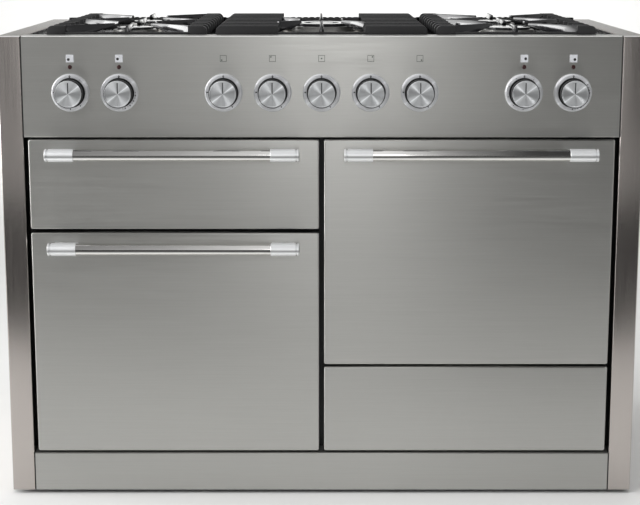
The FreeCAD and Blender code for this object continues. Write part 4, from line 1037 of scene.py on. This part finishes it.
tick_line = add(tick_tree, "GeometryNodeMeshLine")
tick_block = add(tick_tree, "GeometryNodeMeshCube")
tick_tilt = add(tick_tree, "GeometryNodeTransform")
tick_tilt_turn = add(tick_tree, "ShaderNodeCombineXYZ")
tick_lift = add(tick_tree, "ShaderNodeCombineXYZ")
tick_place = add(tick_tree, "GeometryNodeTransform")
tick_copies = add(tick_tree, "GeometryNodeInstanceOnPoints")
tick_index = add(tick_tree, "GeometryNodeInputIndex")
tick_angle = add(tick_tree, "ShaderNodeMapRange")
tick_last_index = add(tick_tree, "ShaderNodeMath", operation="SUBTRACT")
tick_turn = add(tick_tree, "ShaderNodeCombineXYZ")
tick_move = add(tick_tree, "GeometryNodeTransform")
tick_line.inputs["Offset"].default_value = (0.0, 0.0, 0.0)
tick_last_index.inputs[1].default_value = 1.0
wire(
    tick_tree,
    (tick_in.outputs["count"], tick_line.inputs["Count"]),
    (tick_in.outputs["tick size"], tick_block.inputs["Size"]),
    (tick_in.outputs["tilt"], tick_tilt_turn.inputs["X"]),
    (tick_block.outputs["Mesh"], tick_tilt.inputs["Geometry"]),
    (tick_tilt_turn.outputs["Vector"], tick_tilt.inputs["Rotation"]),
    (tick_in.outputs["ring radius"], tick_lift.inputs["Z"]),
    (tick_tilt.outputs["Geometry"], tick_place.inputs["Geometry"]),
    (tick_lift.outputs["Vector"], tick_place.inputs["Translation"]),
    (tick_line.outputs["Mesh"], tick_copies.inputs["Points"]),
    (tick_place.outputs["Geometry"], tick_copies.inputs["Instance"]),
    (tick_index.outputs["Index"], tick_angle.inputs["Value"]),
    (tick_in.outputs["count"], tick_last_index.inputs[0]),
    (tick_last_index.outputs["Value"], tick_angle.inputs["From Max"]),
    (tick_in.outputs["first angle"], tick_angle.inputs["To Min"]),
    (tick_in.outputs["last angle"], tick_angle.inputs["To Max"]),
    (tick_angle.outputs["Result"], tick_turn.inputs["Y"]),
    (tick_turn.outputs["Vector"], tick_copies.inputs["Rotation"]),
    (tick_copies.outputs["Instances"], tick_move.inputs["Geometry"]),
    (tick_in.outputs["centre"], tick_move.inputs["Translation"]),
)
hand_out(tick_tree, tick_in, tick_out, tick_move.outputs["Geometry"])


def made_by(name, tree, values):
    """A plain mesh object from a node tree and its inputs."""
    source = link(bpy.data.objects.new(name + "_source", bpy.data.meshes.new(name + "_source")))
    modifier = source.modifiers.new(name, "NODES")
    modifier.node_group = tree
    set_inputs(modifier, tree, values)
    bpy.context.view_layer.update()
    ready = source.evaluated_get(bpy.context.evaluated_depsgraph_get())
    mesh = bpy.data.meshes.new_from_object(ready)
    bpy.data.objects.remove(source)
    mesh.name = name
    return link(bpy.data.objects.new(name, mesh))


# %% Sizes of the marks
FEW_STEPS = 24
MARK_PROUD = 0.15 * MM
MARK_RADIUS = (BEZEL_BORE + BEZEL_RADIUS - BEZEL_BEVEL) / 2
TICK = (1.5 * MM, MARK_PROUD * 2, 2.8 * MM)
SMALL_TICK = (1.3 * MM, MARK_PROUD * 2, 1.5 * MM)
FLAME = (2.7 * MM, MARK_PROUD * 2, 3.0 * MM)
LOW_MARK = (1.7 * MM, MARK_PROUD * 2, 2.8 * MM)
SCALES = {
    # knob: rows of (first degree, last degree, count, tick size), clockwise from the top
    "knob_grill": [(38, 38, 1, SMALL_TICK), (142, 142, 1, TICK), (180, 180, 1, TICK), (272, 272, 1, TICK)],
    "knob_left_oven": [(88, 168, 9, SMALL_TICK), (100, 160, 4, TICK)],
    "knob_right_oven_mode": [(35, 330, 9, SMALL_TICK)],
    "knob_right_oven_heat": [(60, 182, 13, SMALL_TICK), (60, 180, 5, TICK)],
}
GAS_SCALE = [(272, 272, 1, FLAME), (148, 148, 1, LOW_MARK)]
NOUGHT_OUTSIDE = 1.6 * MM
NOUGHT_INSIDE = 0.5 * MM
NOUGHT_STRETCH = 1.4

# %% Scales round the bezels
nought_outline = [
    (NOUGHT_INSIDE, -MARK_PROUD), (NOUGHT_OUTSIDE, -MARK_PROUD),
    (NOUGHT_OUTSIDE, MARK_PROUD), (NOUGHT_INSIDE, MARK_PROUD),
]
for node, centre in bezel_centres.items():
    marks = []
    for first, last, count, size in SCALES.get(node, GAS_SCALE):
        values = {
            "first angle": math.radians(first), "last angle": math.radians(last), "count": count,
            "ring radius": MARK_RADIUS, "tick size": size, "tilt": 0.0,
            "centre": (centre.x, centre.y, centre.z), "material": ink_black,
        }
        marks.append(made_by("ticks", tick_tree, values))
    nought = turned("nought", nought_outline, Vector((0, 0, 0)), Y_AXIS, closed=True, steps=FEW_STEPS)
    nought.data.transform(Matrix.Diagonal((1.0, 1.0, NOUGHT_STRETCH, 1.0)))
    nought.data.transform(Matrix.Translation((centre.x, centre.y, centre.z + MARK_RADIUS)))
    whole = merged("marks_" + node, [painted(nought, ink_black), *marks])
    dressed(whole, None, "cabinet")
print("scales:", len(bezel_centres))

# %% [markdown]
# ## Panel symbols
# Above each knob is a small printed square. The square stands for the cooker's top or for its ovens,
# and the dot in it shows which burner or oven the knob is for. The ovens' squares are pale, the
# burners' are outlines. Like the marks they are thin plates, and the dot is a short turned disc,
# because a few faces give them clean edges at any distance.

# %% Sizes of the symbols
SYMBOL_Z = 856.0 * MM
OVEN_SQUARE = 14.4 * MM
BURNER_SQUARE = 12.4 * MM
SYMBOL_LINE = 0.9 * MM
OVEN_DOT = 5.2 * MM
BURNER_DOT = 3.0 * MM
OVEN_DOT_SHARE = 0.17
BURNER_DOT_SHARE = 0.24
PANEL_MARK_DEPTH = 0.1 * MM
DOTS = {
    # knob: where its dot lies in the square, as (across, up) from the middle
    "knob_grill": (-1, -0.8), "knob_left_oven": (-1, -0.4), "knob_right_oven_mode": (1, -0.2),
    "knob_right_oven_heat": (1, -0.8), "knob_front_left": (-1, -1), "knob_rear_left": (-1, 1),
    "knob_centre": (0, 0), "knob_rear_right": (1, 1), "knob_front_right": (1, -1),
}


# %% Symbols
def symbol(node):
    """The square and dot above one knob."""
    x = bezel_centres[node].x
    y = front_y - PANEL_MARK_DEPTH
    oven = node in electric_knobs
    size = OVEN_SQUARE if oven else BURNER_SQUARE
    half = size / 2
    inner = half - SYMBOL_LINE
    plates = [(-half, half, -half, half)]
    if not oven:
        plates = [(-half, half, inner, half), (-half, half, -half, -inner)]
        plates += [(-half, -inner, -inner, inner), (inner, half, -inner, inner)]
    pieces = []
    for x0, x1, z0, z1 in plates:
        plate = flat_plate("side", x + x0, x + x1, SYMBOL_Z + z0, SYMBOL_Z + z1, y, PANEL_MARK_DEPTH)
        pieces.append(painted(plate, ink_pale if oven else ink_grey))
    across, up = DOTS[node]
    reach = size * (OVEN_DOT_SHARE if oven else BURNER_DOT_SHARE)
    place = Vector((x + across * reach, y, SYMBOL_Z + up * reach))
    radius = (OVEN_DOT if oven else BURNER_DOT) / 2
    front = -PANEL_MARK_DEPTH / 2
    outline = [(0.0, front), (radius, front), (radius, 0.0), (0.0, 0.0)]
    dot = turned("dot", outline, place, Y_AXIS, steps=FEW_STEPS)
    pieces.append(painted(dot, ink_black if oven else ink_grey))
    return merged("symbol_" + node, pieces)


for node in bezel_centres:
    dressed(symbol(node), None, "cabinet")
print("symbols:", len(bezel_centres))

# %% [markdown]
# ## Burners
# A burner is a stack: a disc on the hob, a ribbed aluminium flame ring and a black enamel lid. The
# flame ports are slots between small teeth. They could be cut out of the ring one by one, but teeth set
# on a plain ring leave the same slots with far fewer faces. One tooth is made and a node tree sets it
# round the ring.

# %% Burner sizes
BURNERS = {
    # name: middle in millimetres, radius of the ring, radius of the lid
    "front_left": ((-370.0, -90.0), 43.0, 36.0),
    "rear_left": ((-370.0, 138.0), 37.0, 30.0),
    "centre": ((0.0, 24.0), 71.0, 58.0),
    "rear_right": ((370.0, 138.0), 43.0, 36.0),
    "front_right": ((370.0, -90.0), 52.0, 44.0),
}
BURNER_EDGE = 1.2 * MM
DISC_HEIGHT = 3.0 * MM
DISC_REACH = 12.0 * MM
DISC_TOP_SHARE = 1.04
DISC_SLOPE_SHARE = 0.55
RING_HEIGHT = 9.0 * MM
LID_HEIGHT = 6.0 * MM
LID_FLAT_SHARE = 0.45
WOK_RISE = 1.0 * MM
WOK_INNER_LID = 0.42
WOK_BORE = 0.62
TOOTH = (3.0 * MM, 2.4 * MM, 3.2 * MM)
TOOTH_PITCH = 4.4 * MM
hob_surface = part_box("burner_bases")[1].z - DISC_HEIGHT

# %% Tooth tree
tooth_tree, tooth_in, tooth_out = tree_with(
    "ring_of_teeth",
    [
        ("count", "NodeSocketInt"), ("ring radius", "NodeSocketFloat"), ("tooth size", "NodeSocketVector"),
        ("centre", "NodeSocketVector"), ("material", "NodeSocketMaterial"),
    ],
)
tooth_circle = add(tooth_tree, "GeometryNodeMeshCircle")
tooth_block = add(tooth_tree, "GeometryNodeMeshCube")
tooth_copies = add(tooth_tree, "GeometryNodeInstanceOnPoints")
tooth_index = add(tooth_tree, "GeometryNodeInputIndex")
tooth_angle = add(tooth_tree, "ShaderNodeMapRange")
tooth_turn = add(tooth_tree, "ShaderNodeCombineXYZ")
tooth_move = add(tooth_tree, "GeometryNodeTransform")
tooth_angle.inputs["To Max"].default_value = FULL_TURN
wire(
    tooth_tree,
    (tooth_in.outputs["count"], tooth_circle.inputs["Vertices"]),
    (tooth_in.outputs["ring radius"], tooth_circle.inputs["Radius"]),
    (tooth_in.outputs["tooth size"], tooth_block.inputs["Size"]),
    (tooth_circle.outputs["Mesh"], tooth_copies.inputs["Points"]),
    (tooth_block.outputs["Mesh"], tooth_copies.inputs["Instance"]),
    (tooth_index.outputs["Index"], tooth_angle.inputs["Value"]),
    (tooth_in.outputs["count"], tooth_angle.inputs["From Max"]),
    (tooth_angle.outputs["Result"], tooth_turn.inputs["Z"]),
    (tooth_turn.outputs["Vector"], tooth_copies.inputs["Rotation"]),
    (tooth_copies.outputs["Instances"], tooth_move.inputs["Geometry"]),
    (tooth_in.outputs["centre"], tooth_move.inputs["Translation"]),
)
hand_out(tooth_tree, tooth_in, tooth_out, tooth_move.outputs["Geometry"])


# %% Burners
def lid_outline(radius, height, dish):
    """A lid whose top falls a little to its rounded edge."""
    top = [(0.0, height), (radius * LID_FLAT_SHARE, height), (radius, height - dish)]
    return soft_outline([*top, (radius, 0.0), (0.0, 0.0)], BURNER_EDGE)


def make_disc(name, base, ring):
    """The disc that a burner stands on."""
    reach = ring + DISC_REACH
    outline = [(0.0, DISC_HEIGHT), (ring * DISC_TOP_SHARE, DISC_HEIGHT)]
    outline += [(reach - BURNER_EDGE, DISC_HEIGHT * DISC_SLOPE_SHARE), (reach, 0.0), (0.0, 0.0)]
    disc = smooth(turned(name + "_disc", soft_outline(outline, BURNER_EDGE / 2), base, Z_AXIS))
    dressed(disc, disc_metal, "cabinet", ("burner_bases",))


def make_flame_ring(name, foot, ring, height):
    """The flame ring, with its teeth."""
    neck = ring - TOOTH[0]
    tooth_foot = height - TOOTH[2] - MM
    outline = [(0.0, 0.0), (ring, 0.0), (ring, tooth_foot), (neck, tooth_foot)]
    outline += [(neck, height - MM), (ring - MM, height - MM), (ring - MM, height), (0.0, height)]
    body = smooth(turned(name + "_ring", outline, foot, Z_AXIS))
    values = {
        "count": int(FULL_TURN * ring / TOOTH_PITCH), "ring radius": ring - TOOTH[0] / 2,
        "tooth size": TOOTH, "centre": (foot.x, foot.y, foot.z + height - TOOTH[2] / 2 - MM),
        "material": satin_aluminium,
    }
    teeth = made_by(name + "_teeth", tooth_tree, values)
    whole = merged(name + "_flame_ring", [painted(body, satin_aluminium), teeth])
    dressed(whole, None, "cabinet", ("burner_heads",))


def make_lids(name, top, lid):
    """The lid, or on the wok burner a ring and a small lid inside it."""
    if name != "centre":
        lids = [turned(name + "_lid", lid_outline(lid, LID_HEIGHT, MM), top, Z_AXIS)]
    else:
        bore = lid * WOK_BORE
        outline = [(bore, 0.0), (bore, LID_HEIGHT), (lid - MM, LID_HEIGHT), (lid, LID_HEIGHT - MM)]
        outline.append((lid, 0.0))
        soft_ring = soft_outline(outline, BURNER_EDGE / 2)
        inner = lid_outline(lid * WOK_INNER_LID, LID_HEIGHT, MM / 2)
        lids = [turned(name + "_lid_ring", soft_ring, top, Z_AXIS, closed=True)]
        lids.append(turned(name + "_lid", inner, top, Z_AXIS))
    for piece in lids:
        dressed(smooth(piece), cap_black, "cabinet", ("burner_caps",))


for name, ((x, y), ring, lid) in BURNERS.items():
    base = Vector((x * MM, y * MM, hob_surface))
    height = RING_HEIGHT + (WOK_RISE if name == "centre" else 0.0)
    make_disc(name, base, ring * MM)
    make_flame_ring(name, base + Vector((0, 0, DISC_HEIGHT)), ring * MM, height)
    make_lids(name, base + Vector((0, 0, DISC_HEIGHT + height)), lid * MM)
print("burners:", len(BURNERS))

# %% [markdown]
# ## Pan supports
# Each pan support is one casting: two ribbed wings, low bars between them and arms that point at a
# burner. A casting leaves its mould more easily with sloping sides, so an arm is wider at its foot than
# at its top. That slope catches the light. The ribs could be placed one by one, but they are all alike,
# so one is made for each wing and a node tree sets the row.

# %% Row tree
row_tree, row_in, row_out = tree_with(
    "row_of_pieces",
    [
        ("piece", "NodeSocketObject"), ("count", "NodeSocketInt"), ("step", "NodeSocketVector"),
        ("material", "NodeSocketMaterial"),
    ],
)
row_line = add(row_tree, "GeometryNodeMeshLine")
row_piece = add(row_tree, "GeometryNodeObjectInfo")
row_copies = add(row_tree, "GeometryNodeInstanceOnPoints")
wire(
    row_tree,
    (row_in.outputs["count"], row_line.inputs["Count"]),
    (row_in.outputs["step"], row_line.inputs["Offset"]),
    (row_in.outputs["piece"], row_piece.inputs["Object"]),
    (row_line.outputs["Mesh"], row_copies.inputs["Points"]),
    (row_piece.outputs["Geometry"], row_copies.inputs["Instance"]),
)
hand_out(row_tree, row_in, row_out, row_copies.outputs["Instances"])


def row_of(name, piece, count, step, material):
    """A piece repeated along a step, as one plain mesh. The first piece is used up."""
    row = made_by(name, row_tree, {"piece": piece, "count": count, "step": step, "material": material})
    bpy.data.objects.remove(piece)
    return row


# %% Sizes of the ribs and arms
RIB_COUNT = 10
RIB_THICKNESS = 11.0 * MM
RIB_HEIGHT = 18.0 * MM
RIB_CORNER = 10.0 * MM
RIB_CORNER_STEPS = 6
CAST_EDGE = 1.3 * MM
CAST_STEPS = 2
RAIL_WIDTH = 9.0 * MM
RAIL_INSET = 8.0 * MM
RAIL_HEIGHT = 10.0 * MM
BAR_RISE = 6.0 * MM
BAR_HEIGHT = 10.0 * MM
ARM_TOP = 4.6 * MM
ARM_SLOPE = 0.19
ARM_TIP = 5.0 * MM
ARM_TAPER_SHARE = 0.5
ARM_EDGE = 0.6 * MM
TOP_FACING = 0.8


# %% Ribs and arms
def prism(name, outline, place, edge_test, edge):
    """A closed outline as a prism of two sides, with some of its edges rounded.

    place turns an outline point and a side (-1 or 1) into a point in space.
    """
    shape = bmesh.new()
    sides = [[shape.verts.new(place(point, side)) for point in outline] for side in (-1, 1)]
    shape.faces.new(sides[0])
    shape.faces.new(list(reversed(sides[1])))
    for n in range(len(outline)):
        following = (n + 1) % len(outline)
        shape.faces.new((sides[0][following], sides[0][n], sides[1][n], sides[1][following]))
    bmesh.ops.recalc_face_normals(shape, faces=shape.faces)
    return bevelled(name, shape, [e for e in shape.edges if edge_test(e)], edge, CAST_STEPS)


def make_rib(x_out, x_in, y, top):
    """One cross rib of a wing, with its outer top corner rounded."""
    hand = 1 if x_out > x_in else -1
    low = top - RIB_HEIGHT
    outline = [(x_in, low), (x_in, top)]
    for step in range(RIB_CORNER_STEPS + 1):
        turn = step / RIB_CORNER_STEPS * math.pi / 2
        x = x_out - hand * RIB_CORNER * (1.0 - math.sin(turn))
        outline.append((x, top - RIB_CORNER * (1.0 - math.cos(turn))))
    outline.append((x_out, low))

    def place(point, side):
        return (point[0], y + RIB_THICKNESS * (side + 1) / 2, point[1])

    def on_a_side(edge):
        first, last = edge.verts
        return abs(first.co.y - last.co.y) < MM and max(first.co.z, last.co.z) > low + MM

    return prism("rib", outline, place, on_a_side, CAST_EDGE)


def make_arm(centre, degrees, gap, root):
    """One arm of a pan support, from its tip near the burner to its root."""
    bend = gap + (root - gap) * ARM_TAPER_SHARE
    outline = [(gap, 0.0), (root, 0.0), (root, -RIB_HEIGHT), (bend, -RIB_HEIGHT), (gap, -ARM_TIP)]
    turn = Matrix.Rotation(math.radians(degrees), 3, "Z")

    def place(point, side):
        half = ARM_TOP / 2 - point[1] * ARM_SLOPE
        return centre + turn @ Vector((point[0], side * half, point[1]))

    arm = prism("arm", outline, place, lambda edge: True, ARM_EDGE)
    arm.data.materials.append(cast_black)
    arm.data.materials.append(arm_enamel)
    for face in arm.data.polygons:
        face.material_index = 0 if abs(face.normal.z) > TOP_FACING else 1
    return arm


# %% Sizes of the pan supports
SIDE_WING = 36.0 * MM
CENTRE_WING = 118.0 * MM
SIDE_GAP = 52.0 * MM
WOK_GAP = 60.0 * MM
FRONT_ANGLES = (225, 270, 315)
REAR_ANGLES = (45, 90, 135)
LEAST_PART = 1e-4
SUPPORTS = {
    # node: width of each wing, its burners, the clear radius round a burner
    "pan_support_left": (SIDE_WING, ("front_left", "rear_left"), SIDE_GAP),
    "pan_support_centre": (CENTRE_WING, ("centre",), WOK_GAP),
    "pan_support_right": (SIDE_WING, ("front_right", "rear_right"), SIDE_GAP),
}


# %% Pan supports
def root_distance(degrees, reach_x, reach_y):
    """How far an arm runs before it meets a rail or a bar."""
    turn = math.radians(degrees)
    across, along = abs(math.cos(turn)), abs(math.sin(turn))
    return min(reach_x / max(across, LEAST_PART), reach_y / max(along, LEAST_PART))


def make_wing(x_out, x_in, low, high):
    """The ribs, rails and feet on one side of a pan support."""
    hand = 1 if x_out > x_in else -1
    pitch = (high.y - low.y - RIB_THICKNESS) / (RIB_COUNT - 1)
    rib = make_rib(x_out, x_in, low.y, high.z)
    pieces = [row_of("ribs", rib, RIB_COUNT, (0.0, pitch, 0.0), cast_black)]
    rib_low = high.z - RIB_HEIGHT
    for edge in (x_out - hand * RAIL_INSET, x_in + hand * RAIL_WIDTH):
        x0, x1 = sorted((edge, edge - hand * RAIL_WIDTH))
        rail_low, rail_high = (x0, low.y + MM, rib_low), (x1, high.y - MM, rib_low + RAIL_HEIGHT)
        pieces.append(soft_box("rail", rail_low, rail_high, CAST_EDGE))
        for y0 in (low.y + MM, high.y - RIB_THICKNESS + MM):
            y1 = y0 + RIB_THICKNESS - 2 * MM
            pieces.append(soft_box("foot", (x0, y0, low.z), (x1, y1, rib_low + MM), MM))
    return pieces


def make_support(node):
    """One pan support from its solid's box."""
    wing, names, gap = SUPPORTS[node]
    low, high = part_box(node)
    pieces = make_wing(low.x, low.x + wing, low, high) + make_wing(high.x, high.x - wing, low, high)
    rail_x = wing - RAIL_WIDTH / 2
    x0, x1 = low.x + rail_x, high.x - rail_x
    bars = [low.y, high.y - RIB_THICKNESS]
    if len(names) > 1:
        bars.insert(1, (bars[0] + bars[1]) / 2)
    bar_top = high.z - RIB_HEIGHT + BAR_RISE
    for y in bars:
        bar_low, bar_high = (x0, y, bar_top - BAR_HEIGHT), (x1, y + RIB_THICKNESS, bar_top)
        pieces.append(soft_box("bar", bar_low, bar_high, CAST_EDGE))
    middles = [y + RIB_THICKNESS / 2 for y in bars]
    for piece in pieces:
        if not piece.data.materials:
            piece.data.materials.append(cast_black)
    for name in names:
        (x, y), _, _ = BURNERS[name]
        centre = Vector((x * MM, y * MM, high.z))
        reach_x = (x1 - x0) / 2
        front = centre.y - max(m for m in middles if m < centre.y)
        rear = min(m for m in middles if m > centre.y) - centre.y
        for angles, reach_y in ((FRONT_ANGLES, front), (REAR_ANGLES, rear)):
            for degrees in angles:
                pieces.append(make_arm(centre, degrees, gap, root_distance(degrees, reach_x, reach_y)))
    support = merged(node + "_cast", pieces)
    support.data.set_sharp_from_angle(angle=SHARP_ANGLE)
    return support


for node in SUPPORTS:
    dressed(make_support(node), None, node, (node,))
print("pan supports:", len(SUPPORTS))

# %% [markdown]
# ## Edges of the fascia
# The fascia's top edge is folded over and catches the light as a fine bright line, and so do the tops of
# the posts. Each post meets the fascia and the plinth at a joint whose narrow gap lies in shade as a
# dark line. All of them are less than two millimetres wide. A true fold that small would hardly show,
# so slim plates draw these lines: pale ones are a painted highlight along the folds, and black ones are
# painted shade over the joints.

# %% Edges of the fascia
FOLD_LINE = 1.5 * MM
FOLD_DEPTH = 2.0 * MM
FOLD_SOFT = 0.4 * MM
JOINT_LINE = 1.7 * MM
JOINT_GAP = 0.8 * MM
EDGE_PROUD = 0.05 * MM
plinth_low, plinth_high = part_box("plinth")
posts_low, posts_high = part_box("side_panels")
line_top = fascia_high.z - EDGE_PROUD
edge_front = fascia_low.y - EDGE_PROUD
line_spans = [
    (posts_low.x + JOINT_LINE, fascia_low.x - JOINT_LINE),
    (fascia_low.x + JOINT_LINE, fascia_high.x - JOINT_LINE),
    (fascia_high.x + JOINT_LINE, posts_high.x - JOINT_LINE),
]
line_low = (edge_front, line_top - FOLD_LINE)
line_high = (edge_front + FOLD_DEPTH, line_top)
# pale plates as painted highlight along the folded top edges of the fascia and the posts
edges = [soft_box("edge", (x0, *line_low), (x1, *line_high), FOLD_SOFT) for x0, x1 in line_spans]
dressed(merged("bright_edges", edges), highlight_edge_steel, "cabinet")
# black plates as painted shade over the joints beside the fascia and the plinth
joint_shades = [
    flat_plate("joint", x, x + JOINT_LINE, z0, z1, edge_front, FOLD_DEPTH)
    for x in (fascia_low.x - JOINT_GAP, fascia_high.x + JOINT_GAP - JOINT_LINE)
    for z0, z1 in ((plinth_low.z, plinth_high.z), (fascia_low.z, line_top))
]
dressed(merged("dark_joints", joint_shades), frame_black, "cabinet")
print("edges:", len(edges), "joints:", len(joint_shades))

# %% [markdown]
# ## Screws on the back
# The rear cover is held by pan-head screws along both sides and along its foot. One screw is turned,
# and the row tree repeats it. The cross slot in each head is not cut: a thin black plate on the dome is
# painted shade for it. The spacing follows from the cover's own box, so no place is typed in.

# %% Screw sizes
SCREW_RADIUS = 5.5 * MM
SCREW_HEIGHT = 2.2 * MM
SCREW_FLAT_SHARE = 0.55
SCREW_SHOULDER_SHARE = 0.9
SHOULDER_HEIGHT_SHARE = 0.6
SCREW_SOFT = 0.3 * MM
SLOT_WIDTH = 1.6 * MM
SLOT_REACH_SHARE = 0.6
SCREW_INSET = 16.0 * MM
RETURN_WIDTH = 40.0 * MM
COVER_THICKNESS = 2.0 * MM
SIDE_SCREWS = 6
FOOT_SCREWS = 5
cover_low, cover_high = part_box("back_panel")
cover_face = cover_low.y + COVER_THICKNESS


# %% Screws
def screw_row(name, x, z, count, step):
    """A row of pan-head screws on the rear cover, each with a black plate as painted shade for its cross
    slot.
    """
    dome = [(0.0, SCREW_HEIGHT), (SCREW_RADIUS * SCREW_FLAT_SHARE, SCREW_HEIGHT)]
    dome.append((SCREW_RADIUS * SCREW_SHOULDER_SHARE, SCREW_HEIGHT * SHOULDER_HEIGHT_SHARE))
    dome += [(SCREW_RADIUS, 0.0), (0.0, 0.0)]
    centre = Vector((x, cover_face, z))
    head = turned("screw", soft_outline(dome, SCREW_SOFT), centre, Y_AXIS, steps=FEW_STEPS)
    reach = SCREW_RADIUS * SLOT_REACH_SHARE
    y = cover_face + SCREW_HEIGHT - MARK_PROUD
    # the cross slot is a black plate: painted shade, not a cut
    bars = [
        flat_plate("slot", x - wide, x + wide, z - tall, z + tall, y, MARK_PROUD * 2)
        for wide, tall in ((reach, SLOT_WIDTH / 2), (SLOT_WIDTH / 2, reach))
    ]
    heads = smooth(row_of(name + "_heads", head, count, step, zinc_steel))
    slots = row_of(name + "_slots", merged("slots", bars), count, step, ink_black)
    return merged(name, [heads, slots])


side_inset = RETURN_WIDTH + SCREW_INSET
first_x, last_x = cover_low.x + side_inset, cover_high.x - side_inset
first_z, last_z = cover_low.z + SCREW_INSET, cover_high.z - SCREW_INSET
up = (0.0, 0.0, (last_z - first_z) / (SIDE_SCREWS - 1))
along = ((last_x - first_x) / (FOOT_SCREWS + 1), 0.0, 0.0)
rows = [
    screw_row("screws_left", first_x, first_z, SIDE_SCREWS, up),
    screw_row("screws_right", last_x, first_z, SIDE_SCREWS, up),
    screw_row("screws_foot", first_x + along[0], first_z, FOOT_SCREWS, along),
]
for row in rows:
    dressed(row, None, "cabinet")
print("screws:", SIDE_SCREWS * 2 + FOOT_SCREWS)
